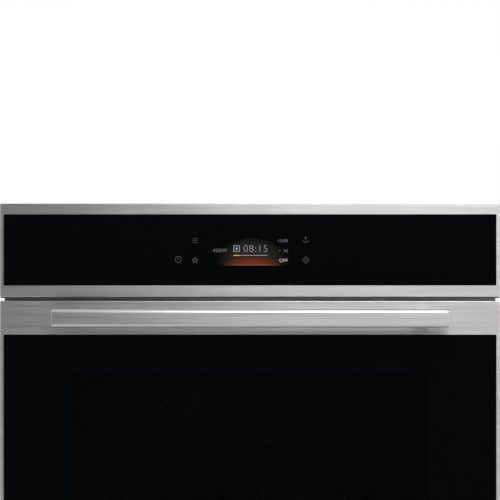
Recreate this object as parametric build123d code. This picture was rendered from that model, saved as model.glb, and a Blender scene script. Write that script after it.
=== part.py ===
from build123d import *
import math
import os

# Compact built-in microwave with a drop-down door. Millimetres. The front faces -Y, y = 0 is the face of
# the kitchen cabinet, z = 0 is the niche shelf that the appliance stands on, and x = 0 is its middle.

os.makedirs("parts", exist_ok=True)

# Overall sizes
FRONT_WIDTH = 595.0
FRONT_TOP = 455.0
FRONT_DEPTH = 21.0
BODY_WIDTH = 556.0
BODY_HEIGHT = 441.0
BODY_DEPTH = 546.0
SHEET = 1.0
PRESSED_DEPTH = 2.0
LIP = 12.0
TRAY_WALL = 14.0
RIB_SPACING = 150.0
SLOT_WIDTH = 5.0
SLOT_PITCH = 14.0
SCREW_R = 1.9
SCREW_LENGTH = 5.0
SCREW_HEAD = 2.0
SCREW_HEAD_R = 3.6

# Control panel, read from the photograph
PANEL_HEIGHT = 112.5
PANEL_TOP_BAND = 12.8
PANEL_LOW_BAND = 14.8
SIDE_BORDER = 4.2
PANEL_LIP = 1.2
WINDOW_RADIUS = 1.2
SKIN = 1.0
SKIN_EDGE_RADIUS = 0.9
SKIN_RETURN = 18.0
GLASS = 4.0
GLASS_SUNK = 0.3
FIT = 0.3
DISPLAY_WIDTH = 106.0
DISPLAY_HEIGHT = 46.0
DISPLAY_DEPTH = 5.0
DISPLAY_BELOW_MIDDLE = 1.6
CARRIER_WALL = 2.0
BOARD = 1.6
TOUCH_BOARD_WIDTH = 232.0
TOUCH_BOARD_MARGIN = 7.0
CONTROL_BOARD_WIDTH = 200.0
CONTROL_BOARD_MARGIN = 5.0
BOARD_SPACING = 7.5

# Door
DOOR_GAP = 3.5
DOOR_BOTTOM = 6.0
DOOR_TOP_BAND = 40.0
DOOR_RETURN = 7.0
DOOR_PLATE = 1.2
DOOR_WALL = 2.0
CHOKE_FRONT = -2.0
CHOKE_BACK = 13.0
CHOKE_WALL = 4.0
CHOKE_COVER = 2.0
STRIKER_BAND = 13.0
VIEW_MARGIN_X = 35.0
VIEW_MARGIN_Z = 13.0
INNER_GLASS_LAP = 10.0
SCREEN = 0.5
HINGE_Y = -9.5
HINGE_Z = 15.0
HINGE_PIN_R = 2.5
HINGE_EYE_R = 5.5
LEVER = 4.0
LEVER_BACK = 43.0
CHANNEL_WIDTH = 11.0
CHANNEL_HEIGHT = 182.0
CHANNEL_WALL = 1.5
RUNNING_GAP = 0.06
CRANK = 12.0
ROD_R = 2.2
SPRING_WIRE_R = 0.55
SPRING_R = 3.1
SPRING_TURNS = 13
HANDLE_LENGTH = 470.0
HANDLE_HEIGHT = 22.0
HANDLE_DEPTH = 12.0
HANDLE_STAND = 33.0
HANDLE_POST_INSET = 30.0
POST_WIDTH = 16.0
POST_HEIGHT = 14.0
HANDLE_SCREW_R = 2.5
HANDLE_SCREW_HEAD_R = 4.5
STRIKER_LENGTH = 25.0

# Frame and cavity
FRAME_SHEET = 1.5
FLANGE_LOW = 12.0
FIXING_LOW = 60.0
FIXING_HIGH = 310.0
FIXING_R = 2.75
RECESS_DEPTH = 17.0
CAVITY_WIDTH = 480.0
CAVITY_HEIGHT = 217.0
CAVITY_DEPTH = 442.0
CAVITY_FLOOR = 78.0
CAVITY_RADIUS = 12.0
LINER = 1.2
LINER_FLANGE = 8.0
WOOL = 18.0
DECK_RISE = 28.0
OUTLET_WIDTH = 376.0
OUTLET_HEIGHT = 11.0

# Turntable
PLATE_CLEARANCE = 22.5
PLATE = 5.0
PLATE_RIM = 8.0
PLATE_LUG = 2.4
TRACK_DEPTH = 3.0
ROLLER_R = 8.0
ROLLER_WIDTH = 7.0
ROLLER_PATH_R = 95.0
ROLLERS = 3
AXLE_R = 2.0
TOUCH_GAP = 0.2
SHAFT_R = 3.5
HUB_R = 11.0
HUB_ARM_R = 19.0
TABLE_MOTOR_R = 25.0

# Heating and air
FAN_COVER_DEPTH = 37.0
LAMP_R = 26.0
SENSOR_R = 2.5
SENSOR_X = -150.0
GRILL_LEG_X = 25.0
RING_LEG_X = 14.0
FAN_BLADES = 14
FAN_BLADE_DEPTH = 14.0
FAN_SHAFT_R = 4.0
FAN_MOTOR_R = 34.0
ELEMENT_R = 3.5
ELEMENT_CLEARANCE = 0.7
GRILL_DROP = 16.0
BLOWER_X0 = -190.0
BLOWER_X1 = 20.0
BLOWER_Y = 165.0
BLOWER_R = 44.0
BLOWER_WALL = 1.4
ROTOR_R = 32.0
ROTOR_BLADES = 24
BLOWER_SHAFT_R = 3.0

# Microwave source and electronics
GUIDE_DEPTH = 24.0
GUIDE_WIDTH = 82.0
GUIDE_Y = 221.0
GUIDE_LOW = 150.0
PORT_HEIGHT = 32.0
YOKE_WIDTH = 61.0
YOKE_Y = 96.0
YOKE_Z = 80.0
COOLING_FINS = 6
ANTENNA_R = 9.0
SOURCE_FAN_SIZE = 92.0
SOURCE_FAN_DEPTH = 25.0
SOURCE_FAN_BLADES = 7
SOURCE_FAN_Y = 290.0
POWER_BOARD_WIDTH = 180.0
POWER_BOARD_DEPTH = 160.0
INLET_X = 220.0
INLET_WIDTH = 51.4
INLET_HEIGHT = 31.4

# Places worked out from the sizes above
FRONT_FACE = -FRONT_DEPTH
FRONT_HALF = FRONT_WIDTH / 2
BODY_HALF = BODY_WIDTH / 2
WALL_INSIDE = BODY_HALF - SHEET
BACK_PLANE = BODY_DEPTH - 3.0
GLASS_FRONT = FRONT_FACE + GLASS_SUNK
GLASS_BACK = GLASS_FRONT + GLASS
WINDOW_HALF = FRONT_HALF - SIDE_BORDER
PANEL_BOTTOM = FRONT_TOP - PANEL_HEIGHT
PANEL_WINDOW_LOW = PANEL_BOTTOM + PANEL_LOW_BAND
PANEL_WINDOW_TOP = FRONT_TOP - PANEL_TOP_BAND
TOUCH_BOARD_LOW = PANEL_WINDOW_LOW + TOUCH_BOARD_MARGIN
TOUCH_BOARD_TOP = PANEL_WINDOW_TOP - TOUCH_BOARD_MARGIN
DISPLAY_Z = (PANEL_WINDOW_LOW + PANEL_WINDOW_TOP) / 2 - DISPLAY_BELOW_MIDDLE
DOOR_TOP = PANEL_BOTTOM - DOOR_GAP
DOOR_PLATE_BACK = GLASS_BACK + DOOR_PLATE
CAVITY_TOP = CAVITY_FLOOR + CAVITY_HEIGHT
CAVITY_HALF = CAVITY_WIDTH / 2
CAVITY_BACK = RECESS_DEPTH + CAVITY_DEPTH
CAVITY_MIDDLE = (CAVITY_FLOOR + CAVITY_TOP) / 2
LINER_BACK = CAVITY_BACK + LINER
LINER_SIDE = CAVITY_HALF + LINER
LINER_TOP = CAVITY_TOP + LINER
DECK_TOP = CAVITY_TOP + DECK_RISE
OUTLET_LOW = DECK_TOP + 2.0
OUTLET_HIGH = OUTLET_LOW + OUTLET_HEIGHT
OUTLET_HALF = OUTLET_WIDTH / 2
FLANGE_X = FRONT_HALF - 4.5
FIXING_X = FRONT_HALF - 10.5
RECESS_X = BODY_HALF - 6.0
RECESS_LOW = FLANGE_LOW + FRAME_SHEET
RECESS_TOP = OUTLET_HIGH + 2.0
PLATE_FACE = RECESS_DEPTH - FRAME_SHEET
CHOKE_SIDE = RECESS_X - 6.0
CHOKE_LOW = CAVITY_FLOOR - 34.0
CHOKE_TOP = RECESS_TOP - 18.0
HINGE_X = CHOKE_SIDE - 8.0
CHANNEL_TOP = HINGE_Z + 3.0 + CHANNEL_HEIGHT
VIEW_X = CAVITY_HALF - VIEW_MARGIN_X
VIEW_LOW = CAVITY_FLOOR + VIEW_MARGIN_Z
VIEW_TOP = CAVITY_TOP - VIEW_MARGIN_Z
SEAT_X = VIEW_X + INNER_GLASS_LAP
SEAT_LOW = VIEW_LOW - INNER_GLASS_LAP
SEAT_TOP = VIEW_TOP + INNER_GLASS_LAP
SEAT_FRONT = CHOKE_BACK - GLASS - SCREEN
HANDLE_Z = DOOR_TOP - DOOR_TOP_BAND / 2
HANDLE_POST_X = HANDLE_LENGTH / 2 - HANDLE_POST_INSET
STRIKER_X = CHOKE_SIDE - 44.0
STRIKER_Z = CHOKE_TOP - 6.5
STRIKER_TIP = CHOKE_BACK + STRIKER_LENGTH
FAN_COVER_FRONT = CAVITY_BACK - FAN_COVER_DEPTH
FAN_COVER_HALF = CAVITY_HALF - CAVITY_RADIUS - 3.0
FAN_COVER_LOW = CAVITY_FLOOR + CAVITY_RADIUS
FAN_COVER_TOP = CAVITY_TOP - CAVITY_RADIUS - 13.0
FAN_Z = (FAN_COVER_LOW + FAN_COVER_TOP) / 2
RING_ELEMENT_R = (FAN_COVER_TOP - FAN_COVER_LOW) / 2 - 10.0
RING_LEG_Z = FAN_Z + math.sqrt(RING_ELEMENT_R**2 - RING_LEG_X**2)
FAN_R = RING_ELEMENT_R - 14.0
FAN_DISC_Y = CAVITY_BACK - 10.0
ELEMENT_Z = CAVITY_TOP - GRILL_DROP
ELEMENT_END = LINER_BACK + 28.0
LAMP_Y = RECESS_DEPTH + 113.0
LAMP_Z = CAVITY_TOP - 58.0
SENSOR_Z = FAN_COVER_TOP + 6.0
TABLE_Y = (RECESS_DEPTH + FAN_COVER_FRONT) / 2
PLATE_RADIUS = min(CAVITY_HALF, TABLE_Y - RECESS_DEPTH) - PLATE_CLEARANCE
TRACK_RADIUS = ROLLER_PATH_R + 17.0
TRACK_FLOOR = CAVITY_FLOOR - TRACK_DEPTH
RING_RADIUS = ROLLER_PATH_R - 9.0
ROLLER_Z = TRACK_FLOOR + TOUCH_GAP + ROLLER_R
PLATE_LOW = ROLLER_Z + ROLLER_R + TOUCH_GAP
TABLE_MOTOR_TOP = TRACK_FLOOR - LINER - 3.0
BLOWER_Z = DECK_TOP + BLOWER_R + 2.0
BLOWER_MOUTH = BLOWER_Y - BLOWER_R - 29.0
NOZZLE_TOP = DECK_TOP + 30.0
GUIDE_X0 = LINER_SIDE
GUIDE_X1 = GUIDE_X0 + GUIDE_DEPTH
GUIDE_Y0 = GUIDE_Y - GUIDE_WIDTH / 2
GUIDE_Y1 = GUIDE_Y + GUIDE_WIDTH / 2
YOKE_X1 = GUIDE_X0 - 2.2
YOKE_X0 = YOKE_X1 - YOKE_WIDTH
SOURCE_Z = DECK_TOP + 52.0
INLET_Z = DECK_TOP + 57.0

nodes = {}


def keep(name, *shapes):
    """Puts solids into a named node."""
    nodes.setdefault(name, []).extend(shapes)


def block(x0, x1, y0, y1, z0, z1):
    """A box between two corners."""
    return Pos((x0 + x1) / 2, (y0 + y1) / 2, (z0 + z1) / 2) * Box(x1 - x0, y1 - y0, z1 - z0)


def block_about(x, y, z, width, depth, height):
    """A box about its middle."""
    return Pos(x, y, z) * Box(width, depth, height)


def bar_x(radius, x0, x1, y, z):
    """A round bar along X."""
    return Pos((x0 + x1) / 2, y, z) * Rot(0, 90, 0) * Cylinder(radius, x1 - x0)


def bar_y(radius, y0, y1, x, z):
    """A round bar along Y."""
    return Pos(x, (y0 + y1) / 2, z) * Rot(90, 0, 0) * Cylinder(radius, y1 - y0)


def bar_z(radius, z0, z1, x, y):
    """A round bar along Z."""
    return Pos(x, y, (z0 + z1) / 2) * Cylinder(radius, z1 - z0)


def slab_y(half, y0, y1, z0, z1, radius):
    """A plate across the appliance, as wide as half on each side, with rounded corners from the front."""
    face = Plane.XZ * RectangleRounded(2 * half, z1 - z0, radius)
    return Pos(0, y1, (z0 + z1) / 2) * extrude(face, amount=y1 - y0)


def profile_x(points, x0, x1):
    """A plate cut to a Y-Z outline, between two X planes."""
    face = Plane.YZ * make_face(Polyline(*points, close=True))
    return Pos(x0, 0, 0) * extrude(face, amount=x1 - x0)


def pressed_field(plane, middle, length, width, radius, depth):
    """A shallow pressed field with sloping sides, widest at its middle point's plane."""
    slope = 2 * depth
    mouth = plane * RectangleRounded(length, width, radius)
    floor = plane.offset(depth) * RectangleRounded(length - 2 * slope, width - 2 * slope, radius - slope)
    return Pos(*middle) * loft([mouth, floor])


def slots(plane, places, length, width, thickness):
    """Upright rounded slots through a sheet."""
    face = plane * SlotOverall(length, width, rotation=90)
    return [Pos(*place) * extrude(face, amount=thickness) for place in places]


def other_side(shape):
    """The same piece on the other side of the appliance."""
    return mirror(shape, about=Plane.YZ)


def pair(name, *shapes):
    """Puts right-hand pieces and their left-hand twins into one node."""
    for shape in shapes:
        keep(name, shape, other_side(shape))


def both_sides(cuts):
    """A list of cutting shapes and their twins on the other side."""
    return cuts + [other_side(cut) for cut in cuts]


def base_plate(holes):
    """Tray that the appliance stands on, with three long stiffening ribs pressed up into it."""
    rib_width, rib_inset, rib_rise = 24.0, 60.0, 3.0
    upstand = 30.0
    base = block(-WALL_INSIDE, WALL_INSIDE, 0, BACK_PLANE, 0, SHEET)
    wall = block(WALL_INSIDE - SHEET, WALL_INSIDE, 0, BACK_PLANE, SHEET, TRAY_WALL)
    base += [wall, other_side(wall)]
    base += block(-WALL_INSIDE, WALL_INSIDE, BACK_PLANE - SHEET, BACK_PLANE, SHEET, TRAY_WALL)
    stop = HINGE_X - 10
    base += block(-stop, stop, RECESS_DEPTH, RECESS_DEPTH + SHEET, SHEET, upstand)
    rib_length = BACK_PLANE - 2 * rib_inset
    for x in (-RIB_SPACING, 0, RIB_SPACING):
        middle = (x, BACK_PLANE / 2)
        base += pressed_field(Plane.XY, (*middle, SHEET), rib_width, rib_length, 8, rib_rise)
        base -= pressed_field(Plane.XY, (*middle, 0), rib_width - 2, rib_length - 2, 7, rib_rise)
    keep("base_plate", base - both_sides(holes))


def side_panels(holes):
    """Folded side walls with a pressed field and air slots."""
    cover_low = BODY_HEIGHT - SHEET
    side = block(WALL_INSIDE, BODY_HALF, 0, BACK_PLANE, SHEET / 2, cover_low)
    side += block(WALL_INSIDE - LIP, WALL_INSIDE, 0, BACK_PLANE, cover_low - SHEET, cover_low)
    lip_low, lip_front = TRAY_WALL + 6, BACK_PLANE - SHEET
    side += block(WALL_INSIDE - LIP, WALL_INSIDE, lip_front, BACK_PLANE, lip_low, cover_low - 2)
    length, height = BACK_PLANE - 170, CAVITY_HEIGHT
    inward = Plane(origin=(0, 0, 0), x_dir=(0, 1, 0), z_dir=(-1, 0, 0))
    place = (BACK_PLANE / 2 + 10, CAVITY_MIDDLE)
    side += pressed_field(inward, (WALL_INSIDE, *place), length + 2, height + 2, 19, PRESSED_DEPTH)
    side -= pressed_field(inward, (BODY_HALF, *place), length, height, 18, PRESSED_DEPTH)
    thick = SHEET + 2
    high = [
        (WALL_INSIDE - 1, BACK_PLANE - 200 + SLOT_PITCH * i, DECK_TOP + rise)
        for i in range(12)
        for rise in (35, 75)
    ]
    low = [(WALL_INSIDE - 1, BACK_PLANE - 160 + SLOT_PITCH * i, 50) for i in range(9)]
    side -= slots(Plane.YZ, high, 28, SLOT_WIDTH, thick)
    side -= slots(Plane.YZ, low, 22, SLOT_WIDTH, thick)
    side -= holes
    keep("right_side_panel", side)
    keep("left_side_panel", other_side(side))


def top_cover(holes):
    """Flat cover with two raised ribs and air slots over the electronics."""
    low = BODY_HEIGHT - SHEET
    cover = block(-BODY_HALF, BODY_HALF, 0, BACK_PLANE + SHEET, low, BODY_HEIGHT)
    rib_width, rib_length, rib_y = 36.0, 300.0, 205.0
    for x in (-RIB_SPACING, RIB_SPACING):
        cover += pressed_field(Plane.XY, (x, rib_y, BODY_HEIGHT), rib_width, rib_length, 10, PRESSED_DEPTH)
        cover -= pressed_field(Plane.XY, (x, rib_y, low), rib_width - 2, rib_length - 2, 9, PRESSED_DEPTH)
    places = [
        (side * (90 + 12 * i), BACK_PLANE - 60 - row, low)
        for side in (-1, 1)
        for i in range(7)
        for row in (0, 60)
    ]
    cover -= slots(Plane.XY, places, 42, SLOT_WIDTH, SHEET)
    keep("top_cover", cover - both_sides(holes))


def rear_panel(holes):
    """Back sheet with three rows of air slots, a round bulge over the fan motor and the inlet's cut-out."""
    rear = BACK_PLANE + SHEET
    back = block(-BODY_HALF, BODY_HALF, BACK_PLANE, rear, SHEET, BODY_HEIGHT - SHEET)
    places = [
        (-BODY_HALF + 62 + SLOT_PITCH * i, rear, FAN_Z + rise)
        for rise in (70, 120, 170)
        for i in range(13)
    ]
    back -= slots(Plane.XZ, places, 34, SLOT_WIDTH, SHEET)
    back -= block_about(INLET_X, rear, INLET_Z, INLET_WIDTH + 2 * FIT, 4 * SHEET, INLET_HEIGHT + 2 * FIT)
    bulge_r = 52.0
    bulge = bar_y(bulge_r, rear, rear + PRESSED_DEPTH, 0, FAN_Z)
    back += fillet(bulge.faces().sort_by(Axis.Y)[-1].edges(), PRESSED_DEPTH * 0.7)
    back -= bar_y(bulge_r - SHEET, BACK_PLANE, rear + PRESSED_DEPTH - SHEET, 0, FAN_Z)
    keep("rear_panel", back - both_sides(holes))


def component_deck():
    """Shelf over the cavity that carries the blower, the transformer and the power board."""
    half = WALL_INSIDE - FIT
    back = BACK_PLANE - 2 * SHEET
    deck = block(-half, half, RECESS_DEPTH, back, DECK_TOP - SHEET, DECK_TOP)
    edge = block(half - SHEET, half, RECESS_DEPTH + LIP, back - 3, DECK_TOP - LIP, DECK_TOP - SHEET)
    deck += [edge, other_side(edge)]
    room = 2.0
    deck -= block(
        GUIDE_X0 - room, GUIDE_X1 + room, GUIDE_Y0 - room, GUIDE_Y1 + room, DECK_TOP - SHEET, DECK_TOP
    )
    keep("component_deck", deck)


def casing_screw(plane, x, y, z):
    """A pan head screw with a cross recess, its head on the plane and its shank behind it."""
    head = extrude(Plane.XY * Circle(SCREW_HEAD_R), amount=SCREW_HEAD)
    head = fillet(head.faces().sort_by(Axis.Z)[-1].edges(), SCREW_HEAD * 0.5)
    screw = head + extrude(Plane.XY * Circle(SCREW_R), amount=-SCREW_LENGTH)
    for width, depth in ((4.0, 0.9), (0.9, 4.0)):
        screw -= Pos(0, 0, SCREW_HEAD) * Box(width, depth, 2.0)
    return Pos(x, y, z) * plane.location * screw


def casing():
    """Galvanised outer casing with the screws that hold it together."""
    screw_x = WALL_INSIDE - LIP / 2
    hole_r = SCREW_R + 0.1
    rear = BACK_PLANE + SHEET
    cover_holes, back_holes, base_holes = [], [], []
    for y in (40, BACK_PLANE / 2, BACK_PLANE - 25):
        pair("casing_screws", casing_screw(Plane.XY, screw_x, y, BODY_HEIGHT))
        cover_holes.append(bar_z(hole_r, BODY_HEIGHT - SCREW_LENGTH, BODY_HEIGHT, screw_x, y))
    for z in (60, 230, BODY_HEIGHT - 41):
        pair("casing_screws", casing_screw(Plane.XZ.rotated((180, 0, 0)), screw_x, rear, z))
        back_holes.append(bar_y(hole_r, rear - SCREW_LENGTH, rear, screw_x, z))
    for y in (60, BACK_PLANE / 2, BACK_PLANE - 60):
        pair("casing_screws", casing_screw(Plane.YZ, BODY_HALF, y, TRAY_WALL / 2 + 1))
        base_holes.append(bar_x(hole_r, BODY_HALF - SCREW_LENGTH, BODY_HALF, y, TRAY_WALL / 2 + 1))
    base_plate(base_holes)
    side_panels(cover_holes + back_holes + base_holes)
    top_cover(cover_holes)
    rear_panel(back_holes)
    component_deck()


def front_frame():
    """Pressed front frame: the flange that is screwed to the cabinet, and the recess that takes the door."""
    frame = block(-FLANGE_X, FLANGE_X, -FRAME_SHEET, 0, FLANGE_LOW, BODY_HEIGHT)
    outer = RECESS_X + FRAME_SHEET
    frame += block(-outer, outer, 0, RECESS_DEPTH, FLANGE_LOW, RECESS_TOP + FRAME_SHEET)
    frame -= block(-RECESS_X, RECESS_X, -FRAME_SHEET, PLATE_FACE, RECESS_LOW, RECESS_TOP)
    frame -= slab_y(CAVITY_HALF, PLATE_FACE, RECESS_DEPTH, CAVITY_FLOOR, CAVITY_TOP, CAVITY_RADIUS)
    frame -= slab_y(OUTLET_HALF, PLATE_FACE, RECESS_DEPTH, OUTLET_LOW, OUTLET_HIGH, 3)
    frame -= slab_y(RECESS_X - 14, -FRAME_SHEET, 0, PANEL_BOTTOM + 10, BODY_HEIGHT - 11, 6)
    lever_slot_half, lever_slot_height = LEVER / 2 + 3, 27.0
    for x in (-HINGE_X, HINGE_X):
        frame -= block(
            x - lever_slot_half,
            x + lever_slot_half,
            PLATE_FACE,
            RECESS_DEPTH,
            HINGE_Z,
            HINGE_Z + lever_slot_height,
        )
    for x in (-STRIKER_X, STRIKER_X):
        frame -= block(x - 7, x + 7, PLATE_FACE, RECESS_DEPTH, STRIKER_Z - 5.5, STRIKER_Z + 7.5)
    for x in (-FIXING_X, FIXING_X):
        for z in (FIXING_LOW, FIXING_HIGH):
            frame -= bar_y(FIXING_R, -FRAME_SHEET, 0, x, z)
    keep("front_frame", frame)


def around_cavity(margin, y0, y1, radius):
    """A plate as large as the cavity's mouth and a margin all round."""
    return slab_y(CAVITY_HALF + margin, y0, y1, CAVITY_FLOOR - margin, CAVITY_TOP + margin, radius)


def cavity_gasket():
    """Flat silicone seal on the frame around the cavity's mouth."""
    front = CHOKE_BACK + FIT
    seal = around_cavity(7, front, PLATE_FACE, 16)
    keep("cavity_gasket", seal - around_cavity(3, front, PLATE_FACE, 12))


def rounded_cell(margin):
    """The cavity as a solid with its long edges and back edges rounded, grown by a margin."""
    cell = around_cavity(margin, RECESS_DEPTH, CAVITY_BACK + margin, CAVITY_RADIUS + margin)
    return fillet(cell.faces().sort_by(Axis.Y)[-1].edges(), CAVITY_RADIUS + margin)


def rear_passages(clearance, y0, y1):
    """Holes for the legs of both elements and for the temperature sensor."""
    leg_r = ELEMENT_R + clearance
    cuts = [bar_y(leg_r, y0, y1, x, ELEMENT_Z) for x in (-GRILL_LEG_X, GRILL_LEG_X)]
    cuts += [bar_y(leg_r, y0, y1, x, RING_LEG_Z) for x in (-RING_LEG_X, RING_LEG_X)]
    cuts.append(bar_y(SENSOR_R + clearance, y0, y1, SENSOR_X, SENSOR_Z))
    return cuts


def cavity_liner():
    """Enamelled steel cavity with a sunk track for the roller ring."""
    liner = rounded_cell(LINER)
    liner += around_cavity(LINER_FLANGE, RECESS_DEPTH, RECESS_DEPTH + LINER, 16)
    liner += bar_z(TRACK_RADIUS + LINER, TRACK_FLOOR - LINER, CAVITY_FLOOR - LINER, 0, TABLE_Y)
    liner -= rounded_cell(0)
    liner -= bar_z(TRACK_RADIUS, TRACK_FLOOR, CAVITY_FLOOR + 1, 0, TABLE_Y)
    liner -= bar_z(SHAFT_R + 2, TRACK_FLOOR - LINER, TRACK_FLOOR, 0, TABLE_Y)
    liner -= bar_y(FAN_SHAFT_R + 5, CAVITY_BACK, LINER_BACK, 0, FAN_Z)
    liner -= bar_x(LAMP_R - 4, -LINER_SIDE, -CAVITY_HALF, LAMP_Y, LAMP_Z)
    liner -= guide_port(CAVITY_HALF, LINER_SIDE)
    liner -= rear_passages(ELEMENT_CLEARANCE, CAVITY_BACK - CAVITY_RADIUS / 2, LINER_BACK)
    vent_r, pitch = 2.0, 8.0
    vents = []
    for row in range(4):
        for i in range(9):
            y = FAN_COVER_FRONT - 100 + pitch * (i + 0.5 * (row % 2))
            vents.append(bar_x(vent_r, CAVITY_HALF, LINER_SIDE, y, CAVITY_MIDDLE + 40 + pitch * row))
    keep("cavity_liner", liner - both_sides(vents))


def insulation_blanket():
    """Mineral wool on the sides, top, floor and back of the cavity."""
    front = RECESS_DEPTH + 53
    outside = LINER_SIDE + WOOL
    side = block(LINER_SIDE, outside, front, LINER_BACK, CAVITY_FLOOR, CAVITY_TOP)
    left = other_side(side) - bar_x(LAMP_R + 1, -outside, -LINER_SIDE, LAMP_Y, LAMP_Z)
    gap = 1.0
    guide_room = block(LINER_SIDE, GUIDE_X1, GUIDE_Y0 - gap, GUIDE_Y1 + gap, GUIDE_LOW - gap, CAVITY_TOP)
    right = side - guide_room
    top = block(-LINER_SIDE, LINER_SIDE, front, LINER_BACK, LINER_TOP, DECK_TOP - SHEET - FIT)
    floor_top = TRACK_FLOOR - LINER
    low = block(-LINER_SIDE, LINER_SIDE, front, LINER_BACK, floor_top - WOOL, floor_top)
    low -= bar_z(TABLE_MOTOR_R + 11, floor_top - WOOL, floor_top, 0, TABLE_Y)
    rear_wool = WOOL - 3
    rear = block(-LINER_SIDE, LINER_SIDE, LINER_BACK, LINER_BACK + rear_wool, CAVITY_FLOOR, CAVITY_TOP)
    rear -= bar_y(FAN_MOTOR_R + 6, LINER_BACK, LINER_BACK + rear_wool, 0, FAN_Z)
    rear -= rear_passages(2.5, LINER_BACK, LINER_BACK + rear_wool)
    keep("insulation_blanket", left, right, top, low, rear)


def cavity_lamp():
    """Lamp in a cup on the left wall, and the glass cover inside the cavity."""
    depth, wall = 29.0, 1.5
    outer_x = -LINER_SIDE - depth
    cup = bar_x(LAMP_R, outer_x, -LINER_SIDE, LAMP_Y, LAMP_Z)
    cup -= bar_x(LAMP_R - wall, outer_x + wall, -LINER_SIDE, LAMP_Y, LAMP_Z)
    cup += bar_x(8, outer_x + wall, outer_x + 9, LAMP_Y, LAMP_Z)
    bulb_r = 5.0
    bulb = bar_x(bulb_r, outer_x + 9, outer_x + 24, LAMP_Y, LAMP_Z)
    bulb = fillet(bulb.faces().sort_by(Axis.X)[-1].edges(), bulb_r * 0.9)
    keep("cavity_lamp", cup, bulb)
    lens = bar_x(LAMP_R - 4.4, -LINER_SIDE, -CAVITY_HALF, LAMP_Y, LAMP_Z)
    dome = bar_x(LAMP_R - 1, -CAVITY_HALF, -CAVITY_HALF + 7, LAMP_Y, LAMP_Z)
    dome = fillet(dome.faces().sort_by(Axis.X)[-1].edges(), 6)
    keep("lamp_cover", lens + dome)


def temperature_sensor():
    """Thin probe through the back wall, with its collar outside."""
    probe = bar_y(SENSOR_R, CAVITY_BACK - 34, LINER_BACK + 24, SENSOR_X, SENSOR_Z)
    keep("temperature_sensor", probe + bar_y(SENSOR_R + 2, LINER_BACK, LINER_BACK + 1.5, SENSOR_X, SENSOR_Z))


def grill_element():
    """Bent tube under the ceiling, and the strap that it hangs from."""
    bend = 16.0
    near, far = RECESS_DEPTH + 45, FAN_COVER_FRONT - 26
    outer_x, inner_x = CAVITY_HALF - 42, CAVITY_HALF - 150
    half = [
        (GRILL_LEG_X, ELEMENT_END),
        (GRILL_LEG_X, far),
        (outer_x, far),
        (outer_x, near),
        (inner_x, near),
        (inner_x, far - 45),
    ]
    route = half + [(-x, y) for x, y in reversed(half)]
    path = FilletPolyline(*[(x, y, ELEMENT_Z) for x, y in route], radius=bend)
    start = Plane(origin=(GRILL_LEG_X, ELEMENT_END, ELEMENT_Z), z_dir=(0, -1, 0))
    tube = sweep(start * Circle(ELEMENT_R), path=path)
    strap_y, strap_half, strap_width = (near + far) / 2, CAVITY_HALF - 30, 12.0
    low = ELEMENT_Z + ELEMENT_R + TOUCH_GAP
    strap_top = low + LINER
    rise = CAVITY_TOP - strap_top
    hanger = block_about(0, strap_y, low + LINER / 2, 2 * strap_half, strap_width, LINER)
    for x in (-strap_half + 40, 0, strap_half - 40):
        hanger += block_about(x, strap_y, strap_top + rise / 2, strap_width, strap_width, rise)
    keep("grill_element", tube, hanger)


def ring_element():
    """Nearly full ring of heater tube around the fan, with two legs through the back wall."""
    ring_y = CAVITY_BACK - 12
    gap_angle = math.degrees(math.asin(RING_LEG_X / RING_ELEMENT_R))
    arc = CenterArc((0, 0, 0), RING_ELEMENT_R, 90 + gap_angle, 360 - 2 * gap_angle)
    path = Plane(origin=(0, ring_y, FAN_Z), x_dir=(1, 0, 0), z_dir=(0, -1, 0)) * arc
    ring = sweep(Plane(origin=path @ 0, z_dir=path % 0) * Circle(ELEMENT_R), path=path)
    for x in (-RING_LEG_X, RING_LEG_X):
        ring += bar_y(ELEMENT_R, ring_y, ELEMENT_END, x, RING_LEG_Z)
        ring += Pos(x, ring_y, RING_LEG_Z) * Sphere(ELEMENT_R)
    keep("ring_element", ring)


def fan_cover():
    """Pressed cover over the convection fan, with round intake holes and slots at both sides."""
    cover = slab_y(FAN_COVER_HALF, FAN_COVER_FRONT, CAVITY_BACK, FAN_COVER_LOW, FAN_COVER_TOP, 10)
    cover = fillet(cover.faces().sort_by(Axis.Y)[0].edges(), 4)
    face_back = FAN_COVER_FRONT + LINER
    cover -= slab_y(
        FAN_COVER_HALF - LINER, face_back, CAVITY_BACK, FAN_COVER_LOW + LINER, FAN_COVER_TOP - LINER, 9
    )
    hole_r, ring_step = 3.5, 12.0
    holes = []
    for ring in range(1, 5):
        for i in range(6 * ring):
            angle = 2 * math.pi * i / (6 * ring)
            x, z = ring_step * ring * math.cos(angle), FAN_Z + ring_step * ring * math.sin(angle)
            holes.append(bar_y(hole_r, FAN_COVER_FRONT, face_back, x, z))
    rows = 7
    pitch = (FAN_COVER_TOP - FAN_COVER_LOW) / (rows + 0.5)
    places = [
        (FAN_COVER_HALF - 22 - 11 * column, face_back, FAN_Z + pitch * (i - rows // 2))
        for column in range(3)
        for i in range(rows)
    ]
    holes += both_sides(slots(Plane.XZ, places, pitch * 0.75, 4, LINER))
    keep("fan_cover", cover - holes)


def convection_fan():
    """Impeller and its shaft."""
    hub_r, sheet = 11.0, 1.2
    front = FAN_DISC_Y - FAN_BLADE_DEPTH
    fan = bar_y(FAN_R, FAN_DISC_Y, FAN_DISC_Y + sheet, 0, FAN_Z)
    fan += bar_y(hub_r, front, FAN_DISC_Y, 0, FAN_Z)
    for i in range(FAN_BLADES):
        blade = block(FAN_R * 0.45, FAN_R, front, FAN_DISC_Y, -sheet / 2, sheet / 2)
        fan += Pos(0, 0, FAN_Z) * Rot(0, 360 * i / FAN_BLADES, 0) * blade
    fan += bar_y(FAN_SHAFT_R, front - 4, LINER_BACK + 52, 0, FAN_Z)
    keep("convection_fan", fan)


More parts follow.
